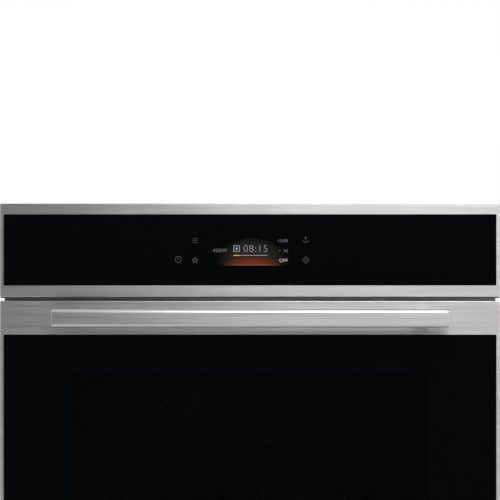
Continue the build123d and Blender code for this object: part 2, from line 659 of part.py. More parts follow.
def convection_motor():
    """Motor on three posts behind the cavity's back wall."""
    plate_y = LINER_BACK + 15
    bearing_r, lamination, coil_half = 16.0, 56.0, 24.0
    motor = bar_y(FAN_MOTOR_R, plate_y, plate_y + 2, 0, FAN_Z)
    for i in range(3):
        angle = math.radians(90 + 120 * i)
        x, z = 27 * math.cos(angle), FAN_Z + 27 * math.sin(angle)
        motor += bar_y(4, LINER_BACK, plate_y, x, z)
    motor += bar_y(bearing_r, plate_y + 2, plate_y + 8, 0, FAN_Z)
    motor += block_about(0, plate_y + 17, FAN_Z, lamination + 8, 18, lamination)
    motor += bar_y(bearing_r, plate_y + 26, plate_y + 34, 0, FAN_Z)
    coil_top = FAN_Z - lamination / 2
    coil = block(-coil_half, coil_half, plate_y + 3, plate_y + 31, coil_top - lamination / 2, coil_top)
    motor += fillet(coil.edges(), 5)
    motor -= bar_y(FAN_SHAFT_R + RUNNING_GAP, LINER_BACK, plate_y + 45, 0, FAN_Z)
    keep("convection_motor", motor)


def turntable_plate():
    """Round glass plate with a raised rim and three lugs under it."""
    rim_top = PLATE_LOW + PLATE + PLATE_RIM
    slope = 12.0
    outline = Polyline(
        (0, PLATE_LOW),
        (PLATE_RADIUS - slope - 2, PLATE_LOW),
        (PLATE_RADIUS, rim_top - 2),
        (PLATE_RADIUS, rim_top),
        (PLATE_RADIUS - PLATE, rim_top),
        (PLATE_RADIUS - PLATE - slope, PLATE_LOW + PLATE),
        (0, PLATE_LOW + PLATE),
        close=True,
    )
    plate = Pos(0, TABLE_Y, 0) * revolve(Plane.XZ * make_face(outline), axis=Axis.Z)
    for i in range(3):
        turn = Pos(0, TABLE_Y, 0) * Rot(0, 0, 120 * i + 60)
        plate += turn * block(HUB_R + 1.5, HUB_ARM_R, -5, 5, PLATE_LOW - PLATE_LUG, PLATE_LOW)
    keep("turntable_plate", plate)


def turntable_coupling():
    """Three-armed coupling between the plate's lugs, on its shaft."""
    hub_low, hub_top = TRACK_FLOOR + 1.5, PLATE_LOW - FIT
    coupling = bar_z(HUB_R, hub_low, hub_top, 0, TABLE_Y)
    for i in range(3):
        turn = Pos(0, TABLE_Y, 0) * Rot(0, 0, 120 * i)
        coupling += turn * block(0, HUB_ARM_R, -4, 4, hub_top - 5.7, hub_top)
    coupling += bar_z(SHAFT_R, TABLE_MOTOR_TOP - 8, hub_low, 0, TABLE_Y)
    keep("turntable_coupling", coupling)


def turntable_motor():
    """Flat geared motor on two posts under the cavity floor."""
    motor = fillet(bar_z(TABLE_MOTOR_R, TABLE_MOTOR_TOP - 17, TABLE_MOTOR_TOP, 0, TABLE_Y).edges(), 1.5)
    ear_top, ear_x = TABLE_MOTOR_TOP - 0.5, TABLE_MOTOR_R + 5
    ear = block(ear_x - 10, ear_x + 4, TABLE_Y - 6, TABLE_Y + 6, ear_top - 1.5, ear_top)
    ear += bar_z(3, ear_top, TRACK_FLOOR - LINER, ear_x, TABLE_Y)
    motor += [ear, other_side(ear)]
    motor -= bar_z(SHAFT_R + RUNNING_GAP, TABLE_MOTOR_TOP - 9, TABLE_MOTOR_TOP, 0, TABLE_Y)
    keep("turntable_motor", motor)


def roller_ring():
    """Ring with three short axles, and the wheels that run on them."""
    ring_low, ring_high, ring_width = ROLLER_Z - 3, ROLLER_Z + 3, 5.0
    ring = bar_z(RING_RADIUS, ring_low, ring_high, 0, TABLE_Y)
    ring -= bar_z(RING_RADIUS - ring_width, ring_low, ring_high, 0, TABLE_Y)
    wheel_in = ROLLER_PATH_R - ROLLER_WIDTH / 2
    wheel_out = ROLLER_PATH_R + ROLLER_WIDTH / 2
    for i in range(ROLLERS):
        turn = Pos(0, TABLE_Y, ROLLER_Z) * Rot(0, 0, 90 + 360 * i / ROLLERS)
        ring += turn * bar_x(AXLE_R, RING_RADIUS - 2, wheel_out + 3, 0, 0)
        ring += turn * bar_x(AXLE_R + 1, wheel_out + 0.4, wheel_out + 2.4, 0, 0)
        wheel = fillet(bar_x(ROLLER_R, wheel_in, wheel_out, 0, 0).edges(), 1)
        wheel -= bar_x(AXLE_R + RUNNING_GAP, wheel_in, wheel_out, 0, 0)
        keep(f"roller_{i + 1}", turn * wheel)
    keep("roller_ring", ring)


def guide_port(x0, x1):
    """The opening through which the waveguide feeds the cavity, as a cut between two X planes."""
    margin, low = 6.0, GUIDE_LOW + 10
    return block(x0, x1, GUIDE_Y0 + margin, GUIDE_Y1 - margin, low, low + PORT_HEIGHT)


def waveguide():
    """Folded channel on the right of the cavity, and the mica sheet that covers its port inside."""
    top = SOURCE_Z + YOKE_Z / 2
    guide = block(GUIDE_X0, GUIDE_X1, GUIDE_Y0, GUIDE_Y1, GUIDE_LOW, top)
    guide -= block(
        GUIDE_X0 + LINER,
        GUIDE_X1 - LINER,
        GUIDE_Y0 + LINER,
        GUIDE_Y1 - LINER,
        GUIDE_LOW + LINER,
        top - LINER,
    )
    guide -= guide_port(GUIDE_X0, GUIDE_X0 + LINER)
    guide -= bar_x(ANTENNA_R + 2, GUIDE_X0, GUIDE_X0 + LINER, GUIDE_Y, SOURCE_Z)
    keep("waveguide", guide)
    mica, low = 0.8, GUIDE_LOW + 2
    sheet_top = low + PORT_HEIGHT + 16
    keep("mica_window", block(CAVITY_HALF - mica, CAVITY_HALF, GUIDE_Y0, GUIDE_Y1, low, sheet_top))


def magnetron():
    """Yoke around the finned core, the antenna in the waveguide, the filter box and its plug."""
    sheet, fin, magnet, magnet_r = 1.5, 0.8, 9.0, 27.0
    y0, y1 = GUIDE_Y - YOKE_Y / 2, GUIDE_Y + YOKE_Y / 2
    z0, z1 = SOURCE_Z - YOKE_Z / 2, SOURCE_Z + YOKE_Z / 2
    left, right = YOKE_X0 + sheet, YOKE_X1 - sheet
    yoke = block(YOKE_X0, YOKE_X1, y0, y1, z0, z1)
    yoke -= block(left, right, y0, y1, z0 + sheet, z1 - sheet)
    core = bar_x(20, left, right, GUIDE_Y, SOURCE_Z)
    pitch = (right - left - 2 * magnet) / (COOLING_FINS + 1)
    for i in range(COOLING_FINS):
        x = left + magnet + pitch * (i + 1)
        core += block(x - fin / 2, x + fin / 2, y0 + 4, y1 - 4, z0 + sheet, z1 - sheet)
    for x in (left, right - magnet):
        core += bar_x(magnet_r, x, x + magnet, GUIDE_Y, SOURCE_Z)
    antenna = bar_x(ANTENNA_R + 6, YOKE_X1, GUIDE_X0, GUIDE_Y, SOURCE_Z)
    antenna += bar_x(ANTENNA_R, GUIDE_X0, GUIDE_X0 + 17, GUIDE_Y, SOURCE_Z)
    filter_box = fillet(block_about(YOKE_X0 - 15, GUIDE_Y, SOURCE_Z, 30, 62, 50).edges(), 2)
    plug = block_about(YOKE_X0 - 15, GUIDE_Y - 35.5, SOURCE_Z, 14, 9, 20)
    keep("magnetron", yoke, core, antenna, filter_box, plug)


def source_fan():
    """Square fan on two feet that blows air over the magnetron."""
    half, hub_r, pin_r = SOURCE_FAN_SIZE / 2, 16.0, 2.0
    x, z = (YOKE_X0 + YOKE_X1) / 2, DECK_TOP + 3 + half
    front, back = SOURCE_FAN_Y, SOURCE_FAN_Y + SOURCE_FAN_DEPTH
    hub_front = back - 6
    frame = block(x - half, x + half, front, back, z - half, z + half)
    frame -= bar_y(half - 2, front, back, x, z)
    for foot in (x - half + 8, x + half - 8):
        frame += block(foot - 6, foot + 6, front + 4, back - 4, DECK_TOP, z - half)
    frame += bar_y(hub_r - 1, hub_front, back, x, z)
    for i in range(4):
        strut = block(12, half - 1, hub_front, back, -2, 2)
        frame += Pos(x, 0, z) * Rot(0, 90 * i + 45, 0) * strut
    frame -= bar_y(pin_r + RUNNING_GAP, hub_front, back, x, z)
    keep("source_fan_frame", frame)
    blades = bar_y(hub_r, front + 3, hub_front - 1, x, z) + bar_y(pin_r, hub_front - 1, back - 1, x, z)
    reach = half - 3 - hub_r
    blade = Pos(hub_r + reach / 2 - 1, (front + hub_front) / 2, 0) * Rot(38, 0, 0) * Box(reach, 1.4, 20)
    for i in range(SOURCE_FAN_BLADES):
        blades += Pos(x, 0, z) * Rot(0, 360 * i / SOURCE_FAN_BLADES, 0) * blade
    keep("source_fan_blades", blades)


def hv_transformer():
    """Laminated core on its foot plate, with two windings around the middle limb."""
    x0, x1 = -WALL_INSIDE + 42, -WALL_INSIDE + 137
    y0, y1 = BACK_PLANE - 143, BACK_PLANE - 73
    low, top, limb, middle_limb = DECK_TOP + 2, DECK_TOP + 76, 16.0, 28.0
    middle, half = (x0 + x1) / 2, middle_limb / 2
    window_low, window_top = low + limb, top - limb
    core = block(x0, x1, y0, y1, low, top)
    core -= block(x0 + limb, middle - half, y0, y1, window_low, window_top)
    core -= block(middle + half, x1 - limb, y0, y1, window_low, window_top)
    core += block(x0 - 8, x1 + 8, y0 + 8, y1 - 8, DECK_TOP, low)
    keep("hv_transformer", core)
    overhang, split = 16.0, window_low + 23
    for coil_low, coil_top in ((window_low + 1, split - 1), (split + 1, window_top - 1)):
        coil = block(x0 + limb + 1, x1 - limb - 1, y0 - overhang, y1 + overhang, coil_low, coil_top)
        coil = fillet(coil.edges().filter_by(Axis.Z), 12)
        keep("hv_transformer", coil - block(middle - half, middle + half, y0, y1, coil_low, coil_top))


def hv_capacitor():
    """Flat oval can that lies on the deck, and the strap that holds it down."""
    x, front, length, width, thick, strap, strap_width = -90.0, 262.0, 88.0, 52.0, 32.0, 1.0, 12.0
    z = DECK_TOP + thick / 2
    can = Pos(x, front + length, z) * extrude(Plane.XZ * SlotOverall(width, thick), amount=length)
    y0, y1 = front + 40, front + 40 + strap_width
    outline = Plane.XZ * SlotOverall(width + 2 * strap, thick + 2 * strap)
    band = Pos(x, y1, z) * extrude(outline, amount=strap_width)
    band += block(x - width / 2 - 8, x - 14, y0, y1, DECK_TOP, DECK_TOP + strap)
    band -= block(x - width, x + width, y0, y1, DECK_TOP - 2 * strap, DECK_TOP)
    band -= can
    for pin_x in (x - 9, x + 9):
        can += bar_y(2.2, front - 9, front, pin_x, z)
    keep("hv_capacitor", can, band)


def blower_housing():
    """Round housing of the cross-flow blower, open at the top towards the back, with its nozzle in front."""
    left, right = BLOWER_X0 + BLOWER_WALL, BLOWER_X1 - BLOWER_WALL
    case = bar_x(BLOWER_R, BLOWER_X0, BLOWER_X1, BLOWER_Y, BLOWER_Z)
    case += block(BLOWER_X0, BLOWER_X1, BLOWER_MOUTH, BLOWER_Y, DECK_TOP, NOZZLE_TOP)
    case -= bar_x(BLOWER_R - BLOWER_WALL, left, right, BLOWER_Y, BLOWER_Z)
    nozzle_low, nozzle_top = DECK_TOP + BLOWER_WALL, NOZZLE_TOP - BLOWER_WALL
    case -= block(left, right, BLOWER_MOUTH, BLOWER_Y, nozzle_low, nozzle_top)
    case -= block(left, right, BLOWER_Y, BLOWER_Y + BLOWER_R + 1, BLOWER_Z, BLOWER_Z + BLOWER_R + 1)
    case -= bar_x(BLOWER_SHAFT_R + RUNNING_GAP, BLOWER_X0, left, BLOWER_Y, BLOWER_Z)
    case -= bar_x(BLOWER_SHAFT_R + 2, right, BLOWER_X1, BLOWER_Y, BLOWER_Z)
    keep("blower_housing", case)


def blower_rotor():
    """Long drum of thin blades between three discs, on its shaft."""
    disc, end_gap, blade, chord, pitch_angle = 1.5, 1.5, 0.8, 9.0, 35
    first = BLOWER_X0 + BLOWER_WALL + end_gap
    last = BLOWER_X1 - BLOWER_WALL - end_gap
    rotor = bar_x(BLOWER_SHAFT_R, BLOWER_X0, BLOWER_X1 + 42, BLOWER_Y, BLOWER_Z)
    for x in (first, (first + last - disc) / 2, last - disc):
        rotor += bar_x(ROTOR_R, x, x + disc, BLOWER_Y, BLOWER_Z)
    vane = Rot(pitch_angle, 0, 0) * Box(last - first, blade, chord)
    vane = Pos((first + last) / 2, 0, ROTOR_R - 5.2) * vane
    for i in range(ROTOR_BLADES):
        rotor += Pos(0, BLOWER_Y, BLOWER_Z) * Rot(360 * i / ROTOR_BLADES, 0, 0) * vane
    keep("blower_rotor", rotor)


def blower_motor():
    """Shaded-pole motor on two posts at the blower's right end."""
    left, right = BLOWER_X1 + 10, BLOWER_X1 + 32
    motor = block(left, right, BLOWER_Y - 30, BLOWER_Y + 30, BLOWER_Z - 24, BLOWER_Z + 24)
    coil = block(left - 5, right + 5, BLOWER_Y + 24, BLOWER_Y + 44, BLOWER_Z - 18, BLOWER_Z + 18)
    motor += fillet(coil.edges(), 4)
    motor += bar_x(11, right, right + 6, BLOWER_Y, BLOWER_Z)
    for y in (BLOWER_Y - 20, BLOWER_Y + 20):
        motor += bar_x(3, BLOWER_X1, left, y, BLOWER_Z - 14)
    motor -= bar_x(BLOWER_SHAFT_R + RUNNING_GAP, BLOWER_X1, right + 13, BLOWER_Y, BLOWER_Z)
    keep("blower_motor", motor)


def duct_shape(wall):
    """The flaring duct from the blower to the front frame as a solid, drawn in by its wall."""
    ends = (
        (RECESS_DEPTH, -OUTLET_HALF - 2, OUTLET_HALF + 2, OUTLET_HIGH + 3),
        (BLOWER_MOUTH, BLOWER_X0, BLOWER_X1, NOZZLE_TOP),
    )
    faces = []
    for y, left, right, top in ends:
        outline = Plane.XZ * Rectangle(right - left - 2 * wall, top - DECK_TOP - 2 * wall)
        faces.append(Pos((left + right) / 2, y, (DECK_TOP + top) / 2) * outline)
    return loft(faces)


def power_board():
    """Board on four standoffs, with its relays, capacitors, filter, heat sink and connector."""
    x0, x1 = -POWER_BOARD_WIDTH / 3, POWER_BOARD_WIDTH * 2 / 3
    y1 = BACK_PLANE - 45
    y0 = y1 - POWER_BOARD_DEPTH
    low = DECK_TOP + 8
    top = low + BOARD
    board = block(x0, x1, y0, y1, low, top)
    for x in (x0 + 6, x1 - 6):
        for y in (y0 + 6, y1 - 6):
            board += bar_z(3.5, DECK_TOP, low, x, y)
    keep("power_board", board)
    for i in range(5):
        x = x0 + 16 + 30 * i
        keep("power_board", block(x, x + 22, y1 - 30, y1 - 14, top, top + 17))
    for i in range(3):
        keep("power_board", bar_z(9, top, top + 32, x0 + 26 + 24 * i, y0 + 26))
    keep("power_board", block(x1 - 60, x1 - 24, y0 + 14, y0 + 50, top, top + 28))
    sink_x, sink_height = x1 - 70, 36.0
    sink = block(sink_x, sink_x + 52, y0 + 66, y0 + 70, top, top + sink_height)
    for i in range(8):
        x = sink_x + 7 * i
        sink += block(x, x + 1.6, y0 + 70, y0 + 86, top, top + sink_height)
    keep("power_board", sink, block(x0 + 12, x0 + 60, y0 + 70, y0 + 80, top, top + 9))


def mains_inlet():
    """Appliance inlet in the back panel, with its flange inside, three pins and an earth screw hole."""
    half_x, half_z, wall, flange = INLET_WIDTH / 2, INLET_HEIGHT / 2, 3.0, 3.0
    floor = BACK_PLANE - 12
    inlet = block(
        INLET_X - half_x, INLET_X + half_x, BACK_PLANE - 26, BODY_DEPTH, INLET_Z - half_z, INLET_Z + half_z
    )
    inlet += block_about(
        INLET_X, BACK_PLANE - flange / 2, INLET_Z, INLET_WIDTH + 10, flange, INLET_HEIGHT + 8
    )
    inlet -= block(INLET_X - half_x + wall, INLET_X + 10, floor, BODY_DEPTH, INLET_Z - 12, INLET_Z + 12)
    for x in (INLET_X - 17, INLET_X - 6.5, INLET_X + 4):
        inlet += block_about(x, floor + 4.5, INLET_Z, 7, 9, 14)
    inlet -= bar_y(4.2, floor, BODY_DEPTH, INLET_X + 18, INLET_Z)
    keep("mains_inlet", inlet)


def door_switches():
    """Brackets behind the frame, the switches on them and the plungers that the door's strikers press."""
    wall, plunger_r, over_travel = 1.5, 1.6, 3.2
    low, front, back = STRIKER_Z - 9.5, RECESS_DEPTH, RECESS_DEPTH + 45
    left, right = STRIKER_X - 9, STRIKER_X + 8
    bracket = block(left, right + wall, front, back, low, low + wall)
    bracket += block(right, right + wall, front, back, low + wall, DECK_TOP - SHEET)
    switch_front = STRIKER_TIP + over_travel
    switch = block(left + 4, right, switch_front, switch_front + 20, low + wall, STRIKER_Z + 6)
    switch -= bar_y(plunger_r + RUNNING_GAP, switch_front, switch_front + 12, STRIKER_X, STRIKER_Z)
    pair("door_switches", bracket, switch)
    plunger = bar_y(plunger_r, STRIKER_TIP + TOUCH_GAP, switch_front + 8, STRIKER_X, STRIKER_Z)
    pair("switch_plungers", plunger)


def hinge_levers():
    """Cranked levers hooked into the frame, and the receivers behind it that hold them."""
    x0, x1 = HINGE_X - LEVER / 2, HINGE_X + LEVER / 2
    arm_low, arm_top = HINGE_Z + 8.3, HINGE_Z + 19
    hook, arm_end, roller_z = RECESS_DEPTH - 3, RECESS_DEPTH + LEVER_BACK, HINGE_Z + CRANK
    outline = [
        (HINGE_Y, HINGE_Z - 3),
        (HINGE_Y + 8, HINGE_Z + 0.5),
        (hook, HINGE_Z + 2),
        (hook + 6, arm_low),
        (arm_end, arm_low),
        (arm_end, arm_top),
        (hook, arm_top),
        (HINGE_Y + 10, roller_z),
        (HINGE_Y + 4, roller_z),
        (HINGE_Y - 4, roller_z),
        (HINGE_Y - HINGE_EYE_R, HINGE_Z),
    ]
    lever = profile_x(outline, x0, x1)
    lever += bar_x(HINGE_EYE_R, x0, x1, HINGE_Y, HINGE_Z)
    lever += bar_x(4, x0, x1, HINGE_Y, roller_z)
    lever -= bar_x(HINGE_PIN_R + RUNNING_GAP, x0, x1, HINGE_Y, HINGE_Z)
    left, right = HINGE_X - CHANNEL_WIDTH / 2, HINGE_X + CHANNEL_WIDTH / 2
    low, top, back = HINGE_Z - 1, HINGE_Z + 29, arm_end + 2
    receiver = block(left, right, RECESS_DEPTH, back, low, top)
    receiver -= block(left + CHANNEL_WALL, right - CHANNEL_WALL, RECESS_DEPTH, back, low, top - CHANNEL_WALL)
    receiver += bar_x(3, left, right, arm_end - 10, arm_low - 3)
    pair("hinge_levers", lever, receiver)


def hinge_channels():
    """Channels in the door with the hinge pins, and the rods and springs that balance the door."""
    left, right = HINGE_X - CHANNEL_WIDTH / 2, HINGE_X + CHANNEL_WIDTH / 2
    inner0, inner1 = left + CHANNEL_WALL, right - CHANNEL_WALL
    front, below = DOOR_PLATE_BACK, HINGE_Z - 10
    guide_z, guide = HINGE_Z + 96, 2.0
    channel = block(left, right, front, CHOKE_FRONT, HINGE_Z + 3, CHANNEL_TOP)
    channel += bar_x(HINGE_EYE_R, left, right, HINGE_Y, HINGE_Z)
    channel -= block(inner0, inner1, front + CHANNEL_WALL, CHOKE_FRONT, below, CHANNEL_TOP)
    channel -= block(inner0, inner1, HINGE_Y - 10, CHOKE_FRONT, below, HINGE_Z + 24)
    channel += block(inner0, inner1, front + CHANNEL_WALL, CHOKE_FRONT, guide_z, guide_z + guide)
    channel -= bar_z(ROD_R + RUNNING_GAP, guide_z, guide_z + guide, HINGE_X, HINGE_Y)
    channel += bar_x(HINGE_PIN_R, left, right, HINGE_Y, HINGE_Z)
    pair("hinge_channels", channel)
    spring_top = CHANNEL_TOP - 30
    rod = bar_z(ROD_R, HINGE_Z + CRANK + 6.5, spring_top + 6, HINGE_X, HINGE_Y)
    rod += bar_z(ROD_R + 1.4, spring_top, spring_top + 3, HINGE_X, HINGE_Y)
    pair("hinge_rods", rod)
    seat = SPRING_WIRE_R + 0.05
    low = guide_z + guide + seat
    height = spring_top - seat - low
    helix = Helix(pitch=height / SPRING_TURNS, height=height, radius=SPRING_R)
    coil = sweep(Plane(origin=helix @ 0, z_dir=helix % 0) * Circle(SPRING_WIRE_R), path=helix)
    pair("hinge_springs", Pos(HINGE_X, HINGE_Y, low) * coil)


def skin(z0, z1, window_low, window_top, depth):
    """A pressed steel front with folded returns, and its window for the glass."""
    face = slab_y(FRONT_HALF, FRONT_FACE, FRONT_FACE + depth, z0, z1, SKIN_EDGE_RADIUS)
    face = fillet(face.faces().sort_by(Axis.Y)[0].edges(), SKIN_EDGE_RADIUS * 0.9)
    inside = FRONT_HALF - SKIN
    face -= block(-inside, inside, FRONT_FACE + SKIN, FRONT_FACE + depth, z0 + SKIN, z1 - SKIN)
    return face - slab_y(WINDOW_HALF, FRONT_FACE, FRONT_FACE + SKIN, window_low, window_top, WINDOW_RADIUS)


def front_glass(window_low, window_top):
    """Black glass that fills a window of the steel skin."""
    low, top = window_low + FIT, window_top - FIT
    return slab_y(WINDOW_HALF - FIT, GLASS_FRONT, GLASS_BACK, low, top, WINDOW_RADIUS - FIT)


def panel_carrier():
    """Plastic tray behind the control glass. Its foot closes the panel's underside."""
    half, foot_half, lug_x = FRONT_HALF - SKIN - FIT, FRONT_HALF - 0.6, FRONT_HALF - 67.5
    front, back, floor = FRONT_FACE + SKIN + FIT, FRONT_FACE + SKIN_RETURN, GLASS_BACK + CARRIER_WALL
    steel_low = PANEL_BOTTOM + PANEL_LIP
    low, top = steel_low + SKIN + FIT, FRONT_TOP - SKIN - FIT
    tray_half, tray_low, tray_top = half - CARRIER_WALL, low + CARRIER_WALL, top - CARRIER_WALL
    carrier = block(-half, half, front, back, low, top)
    carrier -= block(-WINDOW_HALF, WINDOW_HALF, front, GLASS_BACK, PANEL_WINDOW_LOW, PANEL_WINDOW_TOP)
    carrier -= block(-tray_half, tray_half, floor, back, tray_low, tray_top)
    carrier -= block(
        -TOUCH_BOARD_WIDTH / 2 - FIT,
        TOUCH_BOARD_WIDTH / 2 + FIT,
        GLASS_BACK,
        floor,
        TOUCH_BOARD_LOW - FIT,
        TOUCH_BOARD_TOP + FIT,
    )
    carrier += block(-foot_half, foot_half, back, -FRAME_SHEET, PANEL_BOTTOM, tray_low)
    carrier += block(-foot_half, foot_half, front - SKIN / 2, back, PANEL_BOTTOM, steel_low)
    for x in (-lug_x, lug_x):
        carrier += block(x - 12, x + 12, back, -FRAME_SHEET, top - 18, top)
        carrier += block(x - 4, x + 4, floor, back, tray_low, tray_top)
    keep("panel_carrier", carrier)


def panel_boards():
    """Display, the touch board around it and the control board on four standoffs behind them."""
    half_x, half_z = DISPLAY_WIDTH / 2, DISPLAY_HEIGHT / 2
    back = GLASS_BACK + DISPLAY_DEPTH
    display = block(-half_x, half_x, GLASS_BACK, back, DISPLAY_Z - half_z, DISPLAY_Z + half_z)
    keep("display_module", display)
    half_x, half_z = half_x + FIT, half_z + FIT
    touch_half, touch_back = TOUCH_BOARD_WIDTH / 2, GLASS_BACK + BOARD
    touch = block(-touch_half, touch_half, GLASS_BACK, touch_back, TOUCH_BOARD_LOW, TOUCH_BOARD_TOP)
    touch -= block(-half_x, half_x, GLASS_BACK, touch_back, DISPLAY_Z - half_z, DISPLAY_Z + half_z)
    keep("touch_board", touch)
    front = GLASS_BACK + BOARD_SPACING
    face = front + BOARD
    half_x = CONTROL_BOARD_WIDTH / 2
    low, top = TOUCH_BOARD_LOW + CONTROL_BOARD_MARGIN, TOUCH_BOARD_TOP - CONTROL_BOARD_MARGIN
    board = block(-half_x, half_x, front, face, low, top)
    inset = 6.0
    for x in (inset - half_x, half_x - inset):
        for z in (low + inset, top - inset):
            board += bar_y(2.5, touch_back, front, x, z)
    chip = block_about(0, face + 0.7, DISPLAY_Z, 28, 1.4, 28)
    driver = block_about(48, face + 0.6, DISPLAY_Z, 16, 1.2, 12)
    buzzer = bar_y(6, face, face + 3.2, -60, DISPLAY_Z)
    connector = block_about(81, face + 1.6, DISPLAY_Z - 14, 22, 3.2, 8)
    keep("control_board", board, chip, driver, buzzer, connector)


def choke_groove(front, clearance):
    """The door's choke groove around the window as a solid, drawn in by a clearance."""
    wall = CHOKE_WALL + clearance
    low, top = CHOKE_LOW + wall, CHOKE_TOP - STRIKER_BAND - clearance
    ring = slab_y(CHOKE_SIDE - wall, front, CHOKE_BACK, low, top, 10)
    return ring - slab_y(SEAT_X + wall, front, CHOKE_BACK, SEAT_LOW - wall, SEAT_TOP + wall, 12)


def door_frame(screw_holes):
    """Steel frame of the door: the plate behind the skin, a folded box, and the choke around the window."""
    half = FRONT_HALF - SKIN - FIT
    low, top = DOOR_BOTTOM + SKIN + FIT, DOOR_TOP - SKIN - FIT
    box_half, box_low = HINGE_X - CHANNEL_WIDTH / 2 - 3, CHOKE_LOW - 16
    inside = box_half - DOOR_WALL
    frame = block(-half, half, GLASS_BACK, DOOR_PLATE_BACK, low, top)
    frame += block(-box_half, box_half, DOOR_PLATE_BACK, CHOKE_FRONT, box_low, CHOKE_TOP)
    frame += block(-CHOKE_SIDE, CHOKE_SIDE, CHOKE_FRONT, CHOKE_BACK, CHOKE_LOW, CHOKE_TOP)
    frame -= block(-inside, inside, GLASS_BACK, CHOKE_FRONT, box_low + DOOR_WALL, CHOKE_TOP - DOOR_WALL)
    frame -= slab_y(VIEW_X, CHOKE_FRONT, CHOKE_BACK, VIEW_LOW, VIEW_TOP, 8)
    frame -= slab_y(SEAT_X, SEAT_FRONT, CHOKE_BACK, SEAT_LOW, SEAT_TOP, 10)
    frame -= choke_groove(CHOKE_FRONT + DOOR_WALL, 0)
    for x in (-HANDLE_POST_X, HANDLE_POST_X):
        frame += block(x - 12, x + 12, FRONT_FACE + SKIN, GLASS_BACK, HANDLE_Z - 9, HANDLE_Z + 9)
        frame -= bar_y(HANDLE_SCREW_HEAD_R + 1, DOOR_PLATE_BACK, CHOKE_FRONT + DOOR_WALL, x, HANDLE_Z)
    keep("door_frame", frame - screw_holes)


def seated_pane(front, back):
    """A pane that lies in the seat around the door's viewing window."""
    low, top = SEAT_LOW + FIT, SEAT_TOP - FIT
    return slab_y(SEAT_X - FIT, front, back, low, top, 10 - FIT)


def door_handle():
    """Flat bar on two posts, with the screws that hold the posts from inside the door."""
    bar_back = FRONT_FACE - HANDLE_STAND
    outline = Plane.YZ * RectangleRounded(HANDLE_DEPTH, HANDLE_HEIGHT, HANDLE_DEPTH * 0.4)
    bar = extrude(outline, amount=HANDLE_LENGTH)
    bar = Pos(-HANDLE_LENGTH / 2, bar_back - HANDLE_DEPTH / 2, HANDLE_Z) * bar
    ends = bar.faces().sort_by(Axis.X)
    keep("door_handle_bar", fillet(ends[0].edges() + ends[-1].edges(), 1))
    post_outline = Plane.XZ * RectangleRounded(POST_WIDTH, POST_HEIGHT, 4)
    socket = Plane.XZ * RegularPolygon(2, 6)
    head_top = DOOR_PLATE_BACK + 3
    for x in (-HANDLE_POST_X, HANDLE_POST_X):
        post = Pos(x, FRONT_FACE, HANDLE_Z) * extrude(post_outline, amount=HANDLE_STAND)
        post -= bar_y(HANDLE_SCREW_R, FRONT_FACE - 12, FRONT_FACE, x, HANDLE_Z)
        screw = bar_y(HANDLE_SCREW_R, FRONT_FACE - 11, DOOR_PLATE_BACK, x, HANDLE_Z)
        screw += bar_y(HANDLE_SCREW_HEAD_R, DOOR_PLATE_BACK, head_top, x, HANDLE_Z)
        screw -= Pos(x, head_top, HANDLE_Z) * extrude(socket, amount=2)
        keep("door_handle_posts", post, screw)


def door():
    """Door skin and glass, the frame with its choke and cover, the inner pane, screen and strikers."""
    hole = bar_y(HANDLE_SCREW_R + 0.1, FRONT_FACE, DOOR_PLATE_BACK, HANDLE_POST_X, HANDLE_Z)
    holes = both_sides([hole])
    window_low, window_top = DOOR_BOTTOM + PANEL_LOW_BAND, DOOR_TOP - DOOR_TOP_BAND
    keep("door_trim", skin(DOOR_BOTTOM, DOOR_TOP, window_low, window_top, DOOR_RETURN) - holes)
    keep("door_glass", front_glass(window_low, window_top))
    door_frame(holes)
    keep("choke_cover", choke_groove(CHOKE_BACK - CHOKE_COVER, 0.2))
    keep("door_screen", seated_pane(SEAT_FRONT, SEAT_FRONT + SCREEN))
    keep("door_inner_glass", seated_pane(SEAT_FRONT + SCREEN, CHOKE_BACK))
    striker = block_about(STRIKER_X, CHOKE_BACK + STRIKER_LENGTH / 2, STRIKER_Z, 8, STRIKER_LENGTH, 7)
    striker = fillet(striker.faces().sort_by(Axis.Y)[-1].edges(), 1.2)
    striker += block_about(STRIKER_X, CHOKE_BACK + 0.75, STRIKER_Z, 16, 1.5, 12)
    pair("door_strikers", striker)
    door_handle()


casing()
front_frame()
cavity_gasket()
cavity_liner()
insulation_blanket()
cavity_lamp()
temperature_sensor()
grill_element()
ring_element()
fan_cover()
convection_fan()
convection_motor()
turntable_plate()
turntable_coupling()
turntable_motor()
roller_ring()
waveguide()
magnetron()
source_fan()
hv_transformer()
hv_capacitor()
blower_housing()
blower_rotor()
blower_motor()
keep("air_duct", duct_shape(0) - duct_shape(LINER))
power_board()
mains_inlet()
door_switches()
hinge_levers()
hinge_channels()
steel_low = PANEL_BOTTOM + PANEL_LIP
keep("control_fascia", skin(steel_low, FRONT_TOP, PANEL_WINDOW_LOW, PANEL_WINDOW_TOP, SKIN_RETURN))
keep("control_glass", front_glass(PANEL_WINDOW_LOW, PANEL_WINDOW_TOP))
panel_carrier()
panel_boards()
door()

for name, shapes in nodes.items():
    solids = [solid for shape in shapes for solid in shape.solids()]
    export_step(Compound(children=solids), f"parts/{name}.step")
    print(name, len(solids), round(sum(solid.volume for solid in solids)))
print(len(nodes), "nodes")
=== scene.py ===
"""Visual model of a built-in microwave: finishes, display, keys, door screen, wool, springs and studio."""
import math

import bmesh
import bpy
from mathutils import Matrix, Vector


